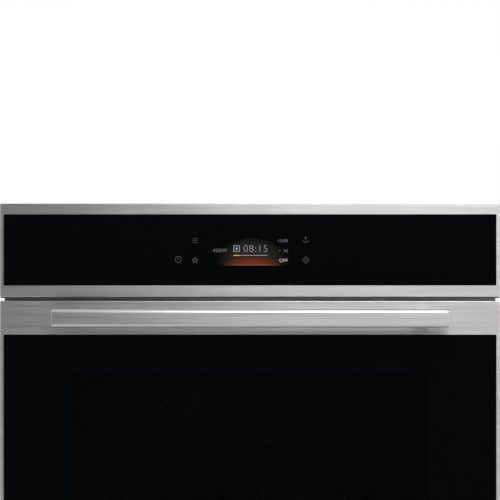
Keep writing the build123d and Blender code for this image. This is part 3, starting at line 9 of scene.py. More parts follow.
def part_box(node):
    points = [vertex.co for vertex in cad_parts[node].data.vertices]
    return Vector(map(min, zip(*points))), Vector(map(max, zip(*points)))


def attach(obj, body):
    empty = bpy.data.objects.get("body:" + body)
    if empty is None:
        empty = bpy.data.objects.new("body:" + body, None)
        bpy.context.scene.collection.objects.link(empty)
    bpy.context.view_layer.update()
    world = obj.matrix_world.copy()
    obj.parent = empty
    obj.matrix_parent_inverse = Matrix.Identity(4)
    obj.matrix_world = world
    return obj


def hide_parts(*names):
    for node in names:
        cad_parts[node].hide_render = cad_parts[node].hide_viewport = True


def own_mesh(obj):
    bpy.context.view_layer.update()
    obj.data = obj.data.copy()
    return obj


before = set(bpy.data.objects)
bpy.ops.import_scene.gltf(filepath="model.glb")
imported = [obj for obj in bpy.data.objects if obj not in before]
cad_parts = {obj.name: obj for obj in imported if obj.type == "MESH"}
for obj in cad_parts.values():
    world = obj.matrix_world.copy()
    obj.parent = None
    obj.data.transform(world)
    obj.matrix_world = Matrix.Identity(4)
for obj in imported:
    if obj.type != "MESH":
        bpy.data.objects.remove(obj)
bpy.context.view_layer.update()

bl_info = {
    "name": "Built-in microwave",
    "version": (1, 0, 0),
    "blender": (4, 5, 0),
    "location": "3D View > Sidebar > Microwave",
    "description": "Finishes and small visual pieces of a compact built-in microwave",
    "category": "Object",
}

MM = 0.001
FASCIA_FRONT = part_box("control_fascia")[0].y
GLASS_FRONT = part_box("control_glass")[0].y
DOOR_LOW, DOOR_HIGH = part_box("door_glass")
SCREEN_LOW, SCREEN_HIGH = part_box("door_screen")
SPRING_LOW, SPRING_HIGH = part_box("hinge_springs")
BASE_LOW, BASE_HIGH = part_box("base_plate")

# Thickness of a lit print on the control glass
PRINT = 0.04 * MM

# Printed border of the door's glass: its widths, the band in which it fades, and its dots' spacing there
BORDER_X = 78 * MM
BORDER_Z = 43 * MM
BORDER_FADE = 10 * MM
DOT_SPACING_MM = 2.2

# Colour of a lit print where it gives no light
UNLIT = "#050505"


# Colour and node helpers

def linear(code):
    """Linear red, green and blue of an sRGB hex colour."""
    parts = [int(code[i:i + 2], 16) / 255 for i in (1, 3, 5)]
    return tuple(c / 12.92 if c <= 0.04045 else ((c + 0.055) / 1.055) ** 2.4 for c in parts)


def toned(colour, share):
    """The colour with its light taken to that share."""
    return tuple(share * c for c in colour)


def node(tree, kind, values=None, **settings):
    """Adds a node, sets its settings, and fills its inputs with values, colours or links."""
    made = tree.nodes.new(kind)
    for key, value in settings.items():
        setattr(made, key, value)
    for key, value in (values or {}).items():
        socket = made.inputs[key]
        if isinstance(value, bpy.types.NodeSocket):
            tree.links.new(value, socket)
        else:
            socket.default_value = (*value, 1.0) if socket.type == "RGBA" else value
    return made


def finish(name, colour, **sockets):
    """A new material with the shader's own sockets set; gives the material, its tree and its shader."""
    material = bpy.data.materials.new(name)
    material.use_nodes = True
    tree = material.node_tree
    shader = tree.nodes["Principled BSDF"]
    shader.inputs["Base Color"].default_value = (*colour, 1.0)
    for key, value in sockets.items():
        shader.inputs[key.replace("_", " ")].default_value = value
    return material, tree, shader


def grain(tree, kind, size, values=None, **settings):
    """A texture with cells of that size in millimetres, or of three sizes along X, Y and Z."""
    sizes = size if isinstance(size, tuple) else (size, size, size)
    place = node(tree, "ShaderNodeTexCoord").outputs["Object"]
    cells = node(tree, "ShaderNodeMapping", {"Vector": place, "Scale": [1 / (s * MM) for s in sizes]})
    return node(tree, kind, {"Vector": cells.outputs["Vector"], "Scale": 1.0, **(values or {})}, **settings)


def tint(tree, pattern, first, second, start=0.0, end=1.0, most=1.0):
    """A colour that turns from first to second, or only by the share most, as a pattern goes from start
    to end."""
    share = node(tree, "ShaderNodeMapRange", {
        "Value": pattern, "From Min": start, "From Max": end, "To Min": 0.0, "To Max": most})
    mix = node(tree, "ShaderNodeMix", {0: share.outputs["Result"], 6: first, 7: second}, data_type="RGBA")
    return mix.outputs[2]


def skin(tree, shader, pattern, rough=None, start=0.3, end=0.7, depth=0.0, strength=0.4):
    """Takes the roughness through the range rough as a pattern goes from start to end, and raises the pattern
    by a depth in millimetres."""
    if rough:
        share = node(tree, "ShaderNodeMapRange", {
            "Value": pattern, "From Min": start, "From Max": end, "To Min": rough[0], "To Max": rough[1]})
        tree.links.new(share.outputs["Result"], shader.inputs["Roughness"])
    if depth:
        bump = node(tree, "ShaderNodeBump", {"Height": pattern, "Distance": depth * MM, "Strength": strength})
        tree.links.new(bump.outputs["Normal"], shader.inputs["Normal"])


def paint(material, *names):
    """Gives CAD nodes a material."""
    for name in names:
        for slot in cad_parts[name].material_slots:
            slot.material = material


# Finishes

def brushed_stainless(colour):
    """Brushed stainless steel, ground with a belt along the width: long streaks 1 mm wide over broader ones,
    soft wide highlight."""
    material, tree, shader = finish("brushed_stainless", colour, Metallic=1.0, Anisotropic=0.8)
    across = node(tree, "ShaderNodeVectorTransform", {"Vector": (0.0, 0.3, 1.0)},
                  vector_type="VECTOR", convert_from="OBJECT", convert_to="WORLD")
    tree.links.new(across.outputs[0], shader.inputs["Tangent"])
    fine = grain(tree, "ShaderNodeTexNoise", (111, 1.11, 1.11), {"Detail": 3.0}).outputs["Fac"]
    broad = grain(tree, "ShaderNodeTexNoise", (333, 3.85, 3.85), {"Detail": 2.0}).outputs["Fac"]
    streak = node(tree, "ShaderNodeMath", {0: fine, 1: broad}, operation="ADD").outputs[0]
    tone = tint(tree, streak, toned(colour, 0.91), toned(colour, 1.04), 0.7, 1.3)
    tree.links.new(tone, shader.inputs["Base Color"])
    skin(tree, shader, fine, rough=(0.28, 0.34), depth=0.01, strength=0.2)
    return material


def satin_stainless(colour):
    """Cold rolled stainless sheet, pickled: even satin with faint clouds."""
    material, tree, shader = finish("satin_stainless", colour, Metallic=1.0)
    cloud = grain(tree, "ShaderNodeTexNoise", 3.33, {"Detail": 4.0}).outputs["Fac"]
    skin(tree, shader, cloud, rough=(0.24, 0.36), depth=0.02)
    return material


def spangled_zinc(colour):
    """Hot dip galvanised sheet, skin passed: frosty crystals 6 mm wide, each with its own faint sheen."""
    material, tree, shader = finish("spangled_zinc", colour, Metallic=0.85)
    crystal = grain(tree, "ShaderNodeTexVoronoi", 6.0).outputs["Color"]
    shade = node(tree, "ShaderNodeSeparateColor", {0: crystal}).outputs[0]
    cloud = grain(tree, "ShaderNodeTexNoise", 111, {"Detail": 5.0}).outputs["Fac"]
    flake = grain(tree, "ShaderNodeTexNoise", 1.43, {"Detail": 2.0}).outputs["Fac"]
    tone = tint(tree, shade, toned(colour, 0.88), colour)
    tone = tint(tree, cloud, tone, linear("#8b9094"), 0.35, 0.7, most=0.2)
    tree.links.new(tone, shader.inputs["Base Color"])
    skin(tree, shader, shade, rough=(0.42, 0.52), start=0.0, end=1.0)
    skin(tree, shader, flake, depth=0.015, strength=0.5)
    return material


def plated_steel(colour):
    """Bright zinc plated pressed steel: smooth, faintly blue, rolled grain along the strip."""
    material, tree, shader = finish("plated_steel", colour, Metallic=1.0)
    rolled = grain(tree, "ShaderNodeTexNoise", (0.5, 0.5, 6.67), {"Detail": 3.0}).outputs["Fac"]
    skin(tree, shader, rolled, rough=(0.24, 0.4), depth=0.01)
    return material


def backed_black_glass(colour):
    """Toughened float glass printed black behind: deep black, sharp reflections, faint roller wave."""
    material, tree, shader = finish("backed_black_glass", colour, IOR=1.52)
    wave = grain(tree, "ShaderNodeTexNoise", 33.3, {"Detail": 1.0}).outputs["Fac"]
    dust = grain(tree, "ShaderNodeTexNoise", 0.222, {"Detail": 2.0}).outputs["Fac"]
    skin(tree, shader, dust, rough=(0.015, 0.05), start=0.45, end=0.75)
    skin(tree, shader, wave, depth=0.03, strength=0.2)
    return material


def windowed_black_glass(colour):
    """Toughened glass with a black printed border that fades in dots into a grey tinted window."""
    material, tree, shader = finish("windowed_black_glass", colour, Roughness=0.02, IOR=1.52)
    place = node(tree, "ShaderNodeTexCoord").outputs["Object"]
    middle, half = (DOOR_LOW + DOOR_HIGH) / 2, (DOOR_HIGH - DOOR_LOW) / 2
    centred = node(tree, "ShaderNodeVectorMath", {0: place, 1: middle}, operation="SUBTRACT")
    mirrored = node(tree, "ShaderNodeVectorMath", {0: centred.outputs[0]}, operation="ABSOLUTE")
    away = node(tree, "ShaderNodeSeparateXYZ", {0: mirrored.outputs[0]}).outputs
    inside = []
    for axis, edge in (("X", half.x - BORDER_X), ("Z", half.z - BORDER_Z)):
        inside.append(node(tree, "ShaderNodeMapRange", {
            "Value": away[axis], "From Min": edge - BORDER_FADE, "From Max": edge,
            "To Min": 1.0, "To Max": 0.0}).outputs[0])
    window = node(tree, "ShaderNodeMath", {0: inside[0], 1: inside[1]}, operation="MINIMUM").outputs[0]
    dots = grain(tree, "ShaderNodeTexVoronoi", DOT_SPACING_MM, {"Randomness": 0.0}).outputs["Distance"]
    # The print ends where the fade and the distance from a dot's middle add up to this share
    dotted = node(tree, "ShaderNodeMath", {0: window, 1: dots}, operation="ADD").outputs[0]
    clear = node(tree, "ShaderNodeMath", {0: dotted, 1: 0.85}, operation="GREATER_THAN").outputs[0]
    tree.links.new(clear, shader.inputs["Transmission Weight"])
    tree.links.new(tint(tree, clear, colour, linear("#8a8d90")), shader.inputs["Base Color"])
    return material


def clear_glass(name, colour, depth):
    """Clear toughened glass: water clear, green at its edges, faint surface wave of that depth."""
    material, tree, shader = finish(name, colour, IOR=1.5, Transmission_Weight=1.0)
    wave = grain(tree, "ShaderNodeTexNoise", 6.67, {"Detail": 2.0}).outputs["Fac"]
    skin(tree, shader, wave, rough=(0.01, 0.05), start=0.4, end=0.8, depth=depth, strength=0.3)
    return material


def speckled_enamel(colour):
    """Vitreous enamel fired on steel: glossy charcoal with pale specks, drawn 1 mm wide so that they show."""
    material, tree, shader = finish("speckled_enamel", colour, Roughness=0.16, IOR=1.52)
    cell = grain(tree, "ShaderNodeTexVoronoi", 3.03).outputs["Distance"]
    peel = grain(tree, "ShaderNodeTexNoise", 4.55, {"Detail": 1.0}).outputs["Fac"]
    tree.links.new(tint(tree, cell, linear("#b9bcc0"), colour, 0.1, 0.2), shader.inputs["Base Color"])
    skin(tree, shader, peel, depth=0.05, strength=0.35)
    return material


def black_enamel(colour):
    """Black powder enamel on pressed steel: deep satin with fine orange peel."""
    material, tree, shader = finish("black_enamel", colour)
    peel = grain(tree, "ShaderNodeTexNoise", 2.0).outputs["Fac"]
    skin(tree, shader, peel, rough=(0.26, 0.4), depth=0.04)
    return material


def moulded_plastic(name, colour, roughness):
    """Injection moulded plastic with a spark eroded skin: fine even grain, broad soft sheen."""
    material, tree, shader = finish(name, colour, IOR=1.49)
    spark = grain(tree, "ShaderNodeTexNoise", 0.625, {"Detail": 2.0}).outputs["Fac"]
    cloud = grain(tree, "ShaderNodeTexNoise", 40.0, {"Detail": 3.0}).outputs["Fac"]
    skin(tree, shader, cloud, rough=(roughness - 0.05, roughness + 0.08))
    skin(tree, shader, spark, depth=0.03, strength=0.5)
    return material


def silicone_rubber(colour):
    """Moulded silicone rubber: matt, slightly dusty, without sharp highlights."""
    material, tree, shader = finish("silicone_rubber", colour, IOR=1.43)
    dust = grain(tree, "ShaderNodeTexNoise", 11.1, {"Detail": 5.0}).outputs["Fac"]
    dusty = tint(tree, dust, colour, linear("#6c6b68"), 0.45, 0.75, most=0.3)
    tree.links.new(dusty, shader.inputs["Base Color"])
    skin(tree, shader, dust, rough=(0.6, 0.8))
    return material


def mineral_wool(colour):
    """Pressed mineral wool: pale fibres lying in layers, dull and slightly shaggy."""
    material, tree, shader = finish("mineral_wool", colour, Roughness=0.95, Sheen_Weight=0.3)
    fibre = grain(
        tree, "ShaderNodeTexNoise", (16.7, 2.38, 2.38), {"Detail": 6.0, "Distortion": 2.5}).outputs["Fac"]
    tree.links.new(tint(tree, fibre, toned(colour, 0.55), colour, 0.35, 0.65), shader.inputs["Base Color"])
    skin(tree, shader, fibre, depth=0.8, strength=0.8)
    return material


def heater_sheath(colour):
    """Oxidised alloy sheath of a tube heater: dark olive grey with straw and blue heat tints."""
    material, tree, shader = finish("heater_sheath", colour, Metallic=0.8)
    heat = grain(tree, "ShaderNodeTexNoise", 55.6, {"Detail": 3.0}).outputs["Fac"]
    straw = tint(tree, heat, colour, linear("#6b5a45"), 0.4, 0.6)
    blue = tint(tree, heat, straw, linear("#4c5664"), 0.58, 0.7, most=0.8)
    tree.links.new(blue, shader.inputs["Base Color"])
    skin(tree, shader, heat, rough=(0.4, 0.6))
    return material


def laminated_steel(colour):
    """Stack of varnished electrical steel plates: dark lines, drawn 2 mm apart so that they show."""
    material, tree, shader = finish("laminated_steel", colour, Metallic=0.8, Roughness=0.45)
    # The wave texture has 3.2 lines to a cell
    lines = grain(tree, "ShaderNodeTexWave", 6.25, {"Distortion": 0.4}, bands_direction="Y").outputs["Fac"]
    tree.links.new(tint(tree, lines, toned(colour, 0.45), colour), shader.inputs["Base Color"])
    skin(tree, shader, lines, depth=0.05)
    return material


def satin_aluminium(colour):
    """Pressed aluminium, etched: pale satin with faint drawing lines."""
    material, tree, shader = finish("satin_aluminium", colour, Metallic=1.0)
    lines = grain(tree, "ShaderNodeTexNoise", (3.33, 3.33, 0.333), {"Detail": 3.0}).outputs["Fac"]
    skin(tree, shader, lines, rough=(0.28, 0.42), depth=0.01)
    return material


def solder_masked_board(colour):
    """Glass fibre board with green solder mask: tracks and pads show paler through the lacquer."""
    material, tree, shader = finish("solder_masked_board", colour, Roughness=0.3, IOR=1.5)
    # A brick is half a cell wide and a quarter of a cell high, and its joints are the tracks
    tracks = grain(tree, "ShaderNodeTexBrick", 11.1, {
        "Mortar Size": 0.018, "Color1": (0, 0, 0), "Color2": (0, 0, 0), "Mortar": (1, 1, 1)}).outputs["Color"]
    pads = grain(tree, "ShaderNodeTexVoronoi", 5.0).outputs["Distance"]
    tone = tint(tree, tracks, colour, linear("#2f8a52"))
    tree.links.new(tint(tree, pads, linear("#c9c6b8"), tone, 0.12, 0.2), shader.inputs["Base Color"])
    skin(tree, shader, tracks, depth=0.04)
    return material


def mica_sheet(colour):
    """Pressed mica sheet: silky gold brown flakes in overlapping layers."""
    material, tree, shader = finish("mica_sheet", colour)
    flake = grain(tree, "ShaderNodeTexVoronoi", 7.14).outputs["Color"]
    shade = node(tree, "ShaderNodeSeparateColor", {0: flake}).outputs[0]
    tree.links.new(tint(tree, shade, toned(colour, 0.7), colour), shader.inputs["Base Color"])
    skin(tree, shader, shade, rough=(0.25, 0.5), start=0.0, end=1.0)
    return material


def glazed_ceramic(colour):
    """Glazed porcelain: milky white with a thin glassy coat."""
    material, tree, shader = finish(
        "glazed_ceramic", colour, Roughness=0.4, Coat_Weight=1.0, Coat_Roughness=0.08)
    cloud = grain(tree, "ShaderNodeTexNoise", 16.7, {"Detail": 3.0}).outputs["Fac"]
    tree.links.new(tint(tree, cloud, colour, linear("#dcd6c8")), shader.inputs["Base Color"])
    return material


def passivated_zinc(colour):
    """Zinc plated screws with a clear passivated skin: bright with a faint yellow and blue cast."""
    material, tree, shader = finish("passivated_zinc", colour, Metallic=1.0)
    cast = grain(tree, "ShaderNodeTexNoise", 3.33, {"Detail": 1.0}).outputs["Fac"]
    tree.links.new(tint(tree, cast, colour, linear("#b7bac6"), 0.4, 0.6), shader.inputs["Base Color"])
    skin(tree, shader, cast, rough=(0.2, 0.34))
    return material


def drawn_wire(colour):
    """Hard drawn spring wire, phosphate coated: dull dark grey satin, clouded where the coat is thin."""
    material, tree, shader = finish("drawn_wire", colour, Metallic=0.9)
    coat = grain(tree, "ShaderNodeTexNoise", 2.86, {"Detail": 3.0}).outputs["Fac"]
    tree.links.new(tint(tree, coat, colour, linear("#9a9b9c"), 0.4, 0.65), shader.inputs["Base Color"])
    skin(tree, shader, coat, rough=(0.42, 0.3))
    return material


def lit_print(name, colour):
    """A lit symbol seen through the black glass: even light under the same gloss as the glass."""
    material, tree, shader = finish(name, linear(UNLIT), Roughness=0.03, IOR=1.52, Emission_Strength=1.0)
    dots = grain(tree, "ShaderNodeTexNoise", 0.4, {"Detail": 1.0}).outputs["Fac"]
    light = tint(tree, dots, colour, (0, 0, 0), 0.3, 0.7, most=0.25)
    tree.links.new(light, shader.inputs["Emission Color"])
    return material


def warm_light(name, colour, rim, middle, half):
    """Warm light behind the black glass: brightest at its foot, with the share rim of that at its rim."""
    material, tree, shader = finish(name, linear(UNLIT), Roughness=0.03, IOR=1.52, Emission_Strength=1.0)
    place = node(tree, "ShaderNodeTexCoord").outputs["Object"]
    from_foot = node(tree, "ShaderNodeMapping", {
        "Vector": place, "Location": (-middle[0] / half[0], 0, -middle[1] / half[1]),
        "Scale": (1 / half[0], 0, 1 / half[1])})
    glow = node(tree, "ShaderNodeTexGradient", {0: from_foot.outputs[0]}, gradient_type="SPHERICAL")
    light = tint(tree, glow.outputs["Fac"], toned(colour, rim), colour, 0.0, 0.55)
    tree.links.new(light, shader.inputs["Emission Color"])
    return material


def pale_board(name, colour, roughness):
    """Pale painted studio board: matt, with a faint roller texture."""
    material, tree, shader = finish(name, colour, Roughness=roughness)
    roller = grain(tree, "ShaderNodeTexNoise", 16.7, {"Detail": 3.0}).outputs["Fac"]
    skin(tree, shader, roller, depth=0.1, strength=0.1)
    return material


def fading_floor(near, far):
    """Pale floor that clears between two radii, so that the white surround takes over without an edge."""
    material = pale_board("pale_floor", linear("#ededed"), 0.8)
    tree = material.node_tree
    place = node(tree, "ShaderNodeTexCoord").outputs["Object"]
    reach = node(tree, "ShaderNodeVectorMath", {0: place}, operation="LENGTH").outputs["Value"]
    solid = node(tree, "ShaderNodeMapRange", {
        "Value": reach, "From Min": near, "From Max": far, "To Min": 1.0, "To Max": 0.0}).outputs["Result"]
    tree.links.new(solid, tree.nodes["Principled BSDF"].inputs["Alpha"])
    return material


# Shapes

def placed(name, bm, material):
    """An object of the bmesh, which already lies in its place."""
    mesh = bpy.data.meshes.new(name)
    bm.to_mesh(mesh)
    bm.free()
    mesh.materials.append(material)
    made = bpy.data.objects.new(name, mesh)
    bpy.context.scene.collection.objects.link(made)
    return made


def piece(name, bm, material, body):
    """A piece of the appliance that rides on a body."""
    made = placed(name, bm, material)
    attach(made, body)
    return made


def stand_up(bm, x, z, front, thickness):
    """Thickens flat faces drawn in X and Y, and stands them up about the plane y = front, facing forwards."""
    bm.normal_update()
    bmesh.ops.solidify(bm, geom=bm.faces, thickness=thickness)
    bmesh.ops.recalc_face_normals(bm, faces=bm.faces)
    low = min(v.co.z for v in bm.verts)
    bmesh.ops.translate(bm, verts=bm.verts, vec=(0, 0, -low))
    bmesh.ops.rotate(bm, verts=bm.verts, cent=(0, 0, 0), matrix=Matrix.Rotation(math.pi / 2, 3, "X"))
    bmesh.ops.translate(bm, verts=bm.verts, vec=(x, front + thickness / 2, z))


def glass_print(name, bm, x, z, material, thickness=PRINT):
    """Flat faces drawn in X and Y as a lit print on the control glass."""
    stand_up(bm, x, z, GLASS_FRONT, thickness)
    piece(name, bm, material, "chassis")


def outline(bm, radius, corners, width, turn=0.0, inner=None):
    """A closed line of that width inside a polygon, or inside a star with every second corner at inner."""
    polygon = bmesh.ops.create_circle(bm, cap_ends=True, segments=corners, radius=radius)["verts"]
    if inner:
        for corner in polygon[1::2]:
            corner.co *= inner / radius
    bmesh.ops.rotate(bm, verts=polygon, cent=(0, 0, 0), matrix=Matrix.Rotation(turn, 3, "Z"))
    face = polygon[0].link_faces[0]
    face.normal_update()
    bmesh.ops.inset_region(bm, faces=[face], thickness=width, use_boundary=True, use_even_offset=True)
    bmesh.ops.delete(bm, geom=[face], context="FACES_ONLY")


def bar(bm, x, y, width, height, turn=0.0):
    """A flat bar about a point."""
    grid = bmesh.ops.create_grid(bm, x_segments=1, y_segments=1, size=0.5)["verts"]
    bmesh.ops.scale(bm, verts=grid, vec=(width, height, 1))
    bmesh.ops.rotate(bm, verts=grid, cent=(0, 0, 0), matrix=Matrix.Rotation(turn, 3, "Z"))
    bmesh.ops.translate(bm, verts=grid, vec=(x, y, 0))
    return grid


def half_ellipse(bm, half_x, tall):
    """The upper half of an ellipse, on its middle."""
    bmesh.ops.create_circle(bm, cap_ends=True, segments=64, radius=1)
    bmesh.ops.bisect_plane(
        bm, geom=bm.verts[:] + bm.edges[:] + bm.faces[:], dist=1e-6, plane_co=(0, 0, 0), plane_no=(0, -1, 0),
        clear_outer=True)
    bmesh.ops.scale(bm, verts=bm.verts, vec=(half_x, tall, 1))


def menu_key(bm, size, width):
    """Three level bars."""
    for row in (-1, 0, 1):
        bar(bm, 0, row * 0.31 * size, 0.8 * size, 0.7 * width)


def clock_key(bm, size, width):
    """A round clock face with one short hand."""
    outline(bm, size / 2, 40, width)
    bar(bm, 0, 0.14 * size, width, 0.28 * size)


def star_key(bm, size, width):
    """A five pointed star."""
    outline(bm, 0.54 * size, 10, width, inner=0.22 * size)


def lamp_key(bm, size, width):
    """A lamp: a small bulb on its stem in a shallow dish."""
    bar(bm, 0, 0.34 * size, 0.2 * size, 0.24 * size)
    bar(bm, 0, 0.1 * size, width, 0.26 * size)
    for side in (-1, 1):
        bar(bm, side * 0.36 * size, -0.17 * size, 0.38 * size, width, side * 0.9)
    bar(bm, 0, -0.32 * size, 0.48 * size, width)


def diamond_key(bm, size, width):
    """A diamond with an upright bar."""
    outline(bm, 0.53 * size, 4, width)
    bar(bm, 0, 0, width, 0.44 * size)


def lettering(name, words, x, z, tall, material, align, weight):
    """Generic lettering as a thin solid on the glass: letters that tall, strokes wider by their weight."""
    curve = bpy.data.curves.new(name, "FONT")
    curve.body = words
    curve.align_x = align
    curve.space_character = 1.08
    curve.extrude = 0.5
    curve.offset = weight
    holder = bpy.data.objects.new(name, curve)
    bpy.context.scene.collection.objects.link(holder)
    bpy.context.view_layer.update()
    mesh = bpy.data.meshes.new_from_object(holder.evaluated_get(bpy.context.evaluated_depsgraph_get()))
    bpy.data.objects.remove(holder)
    bpy.data.curves.remove(curve)
    bm = bmesh.new()
    bm.from_mesh(mesh)
    bpy.data.meshes.remove(mesh)
    bmesh.ops.remove_doubles(bm, verts=bm.verts, dist=1e-5)
    scale = tall / (max(v.co.y for v in bm.verts) - min(v.co.y for v in bm.verts))
    bmesh.ops.scale(bm, verts=bm.verts, vec=(scale, scale, PRINT))
    bmesh.ops.rotate(bm, verts=bm.verts, cent=(0, 0, 0), matrix=Matrix.Rotation(math.pi / 2, 3, "X"))
    bmesh.ops.translate(bm, verts=bm.verts, vec=(x, GLASS_FRONT, z))
    piece(name, bm, material, "chassis")


def draw_display(text, accent):
    """The display's drawing: a framed dot, a line of progress, and a low warm arch of light in a dim one."""
    mark = bmesh.new()
    outline(mark, 5.2 * MM, 4, 0.6 * MM, math.pi / 4)
    bar(mark, 0, 0, 2.2 * MM, 2.2 * MM)
    glass_print("display_mark", mark, -16.0 * MM, 401.3 * MM, text)
    progress = lit_print("lit_progress", linear("#f0b46a"))
    for name, x, width, height, material in (
            ("display_line", 4.2, 33.4, 0.5, text), ("display_line_done", -16.3, 6.8, 1.1, progress)):
        line = bmesh.new()
        bar(line, 0, 0, width * MM, height * MM)
        glass_print(name, line, x * MM, 393.2 * MM, material)
    # Three lights on one foot, each thicker than the last, so that it lies in front
    foot = (2.7 * MM, 381.4 * MM)
    for name, half_x, tall, colour, rim, share in (
            ("haze", 42, 32, linear("#2c2827"), 0.0, 0.3),
            ("arch", 34, 10, accent, 0.25, 0.6),
            ("foot", 33, 0.9, linear("#95603f"), 0.5, 0.8)):
        arch = bmesh.new()
        half_ellipse(arch, half_x * MM, tall * MM)
        light = warm_light(f"lit_{name}", colour, rim, foot, (half_x * MM, 1.15 * tall * MM))
        glass_print(f"display_{name}", arch, *foot, light, share * PRINT)


def perforated_sheet(pitch, hole, wide, tall, edge):
    """A sheet with staggered six sided holes and a plain edge, drawn flat in X and Y about its middle."""
    bm = bmesh.new()
    row = pitch * math.sqrt(3) / 2
    for shift in (0, 1):
        cell = bmesh.ops.create_circle(bm, cap_ends=True, segments=6, radius=pitch / math.sqrt(3))
        bmesh.ops.translate(bm, verts=cell["verts"], vec=(shift * pitch / 2, shift * row, 0))
    for step, count in ((Vector((pitch, 0, 0)), math.ceil(wide / pitch) + 1),
                        (Vector((0, 2 * row, 0)), math.ceil(tall / (2 * row)) + 1)):
        start = list(bm.verts) + list(bm.edges) + list(bm.faces)
        for i in range(1, count):
            copy = bmesh.ops.duplicate(bm, geom=start)
            moved = [g for g in copy["geom"] if isinstance(g, bmesh.types.BMVert)]
            bmesh.ops.translate(bm, verts=moved, vec=step * i)
    bmesh.ops.remove_doubles(bm, verts=bm.verts, dist=0.05 * MM)
    # Bevelled edges become the bars between the holes, and what is left of each cell is a hole
    bmesh.ops.bevel(
        bm, geom=bm.edges, offset=(pitch - hole) / 2, offset_type="OFFSET", segments=1, profile=0.5,
        affect="EDGES", material=-1)
    holes = [face for face in bm.faces if len(face.verts) > 4]
    bmesh.ops.delete(bm, geom=holes, context="FACES_ONLY")
    middle = Vector((sum(v.co.x for v in bm.verts), sum(v.co.y for v in bm.verts), 0)) / len(bm.verts)
    bmesh.ops.translate(bm, verts=bm.verts, vec=-middle)
    for way, reach in (((1, 0, 0), wide / 2 - edge), ((0, 1, 0), tall / 2 - edge)):
        for outward in (-Vector(way), Vector(way)):
            bmesh.ops.bisect_plane(
                bm, geom=bm.verts[:] + bm.edges[:] + bm.faces[:], dist=1e-6, plane_co=outward * reach,
                plane_no=outward, clear_outer=True)
    border = bar(bm, 0, 0, wide, tall)[0].link_faces[0]
    bmesh.ops.inset_region(bm, faces=[border], thickness=edge, use_boundary=True, use_even_offset=True)
    bmesh.ops.delete(bm, geom=[border], context="FACES_ONLY")
    bmesh.ops.recalc_face_normals(bm, faces=bm.faces)
    return bm


def wool_blanket(material):
    """The mineral wool round the cavity, with rounded edges and a soft uneven face."""
    bm = bmesh.new()
    bm.from_mesh(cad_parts["insulation_blanket"].data)
    bmesh.ops.remove_doubles(bm, verts=bm.verts, dist=0.01 * MM)
    blanket = piece("insulation_wool", bm, material, "chassis")
    remesh = blanket.modifiers.new("Cut", "REMESH")
    remesh.mode = "VOXEL"
    remesh.voxel_size = 5 * MM
    lumps = bpy.data.textures.new("wool_lumps", "CLOUDS")
    lumps.noise_scale = 18 * MM
    swell = blanket.modifiers.new("Lumps", "DISPLACE")
    swell.texture = lumps
    swell.texture_coords = "LOCAL"
    swell.strength = 1.6 * MM
    swell.mid_level = 1.0
    mesh = bpy.data.meshes.new_from_object(blanket.evaluated_get(bpy.context.evaluated_depsgraph_get()))
    blanket.modifiers.clear()
    blanket.data = mesh
    for polygon in mesh.polygons:
        polygon.use_smooth = True
    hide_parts("insulation_blanket")


def coil_springs(material, turns, wire):
    """The two springs of the hinges, wound at one length. The real ones close up as the rods pull their
    washers down the channels.
    """
    middle = (SPRING_LOW + SPRING_HIGH) / 2
    radius = (SPRING_HIGH.y - SPRING_LOW.y) / 2 - wire
    length = SPRING_HIGH.z - SPRING_LOW.z
    steps = 24 * turns
    bm = bmesh.new()
    for side, x in ((-1, SPRING_LOW.x + radius + wire), (1, SPRING_HIGH.x - radius - wire)):
        start = Matrix.Translation((x + side * radius, middle.y, SPRING_LOW.z + wire))
        section = bmesh.ops.create_circle(
            bm, segments=8, radius=wire, matrix=start @ Matrix.Rotation(math.pi / 2, 4, "X"))["verts"]
        rim = {edge for vert in section for edge in vert.link_edges}
        bmesh.ops.spin(
            bm, geom=[*section, *rim], cent=(x, middle.y, 0), axis=(0, 0, 1),
            dvec=(0, 0, (length - 2 * wire) / steps), angle=side * 2 * math.pi * turns, steps=steps)
    bmesh.ops.holes_fill(bm, edges=[edge for edge in bm.edges if edge.is_boundary], sides=8)
    bmesh.ops.recalc_face_normals(bm, faces=bm.faces)
    for face in bm.faces:
        face.smooth = True
    springs = piece("balance_springs", bm, material, "door")
    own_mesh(springs)
    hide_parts("hinge_springs")


# Studio

def build_stage(studio):
    """A plinth under the casing, so that the open door clears the floor, and the floor."""
    inset, gap = 20 * MM, 0.3 * MM
    middle, size = (BASE_LOW + BASE_HIGH) / 2, BASE_HIGH - BASE_LOW
    plinth = bmesh.new()
    bmesh.ops.create_cube(plinth, size=1)
    bmesh.ops.scale(
        plinth, verts=plinth.verts, vec=(size.x - 2 * inset, size.y - 2 * inset, studio.plinth))
    bmesh.ops.translate(plinth, verts=plinth.verts, vec=(middle.x, middle.y, -studio.plinth / 2 - gap))
    bmesh.ops.bevel(
        plinth, geom=plinth.edges[:], offset=2 * MM, segments=2, profile=0.5, affect="EDGES", material=-1)
    placed("plinth", plinth, pale_board("painted_plinth", linear("#e9e9e9"), 0.6))
    floor = bmesh.new()
    bmesh.ops.create_circle(floor, cap_ends=True, segments=64, radius=studio.floor)
    bmesh.ops.translate(floor, verts=floor.verts, vec=(0, 0, -studio.plinth - gap))
    placed("floor", floor, fading_floor(1.0, 3.0))


def softbox(name, place, aim, size, power):
    """A square area light that looks at a point."""
    light = bpy.data.lights.new(name, "AREA")
    light.shape = "SQUARE"
    light.size = size
    light.energy = power
    holder = bpy.data.objects.new(name, light)
    holder.location = place
    way = Vector(aim) - Vector(place)
    holder.rotation_euler = way.to_track_quat("-Z", "Y").to_euler()
    holder.visible_camera = False
    bpy.context.scene.collection.objects.link(holder)


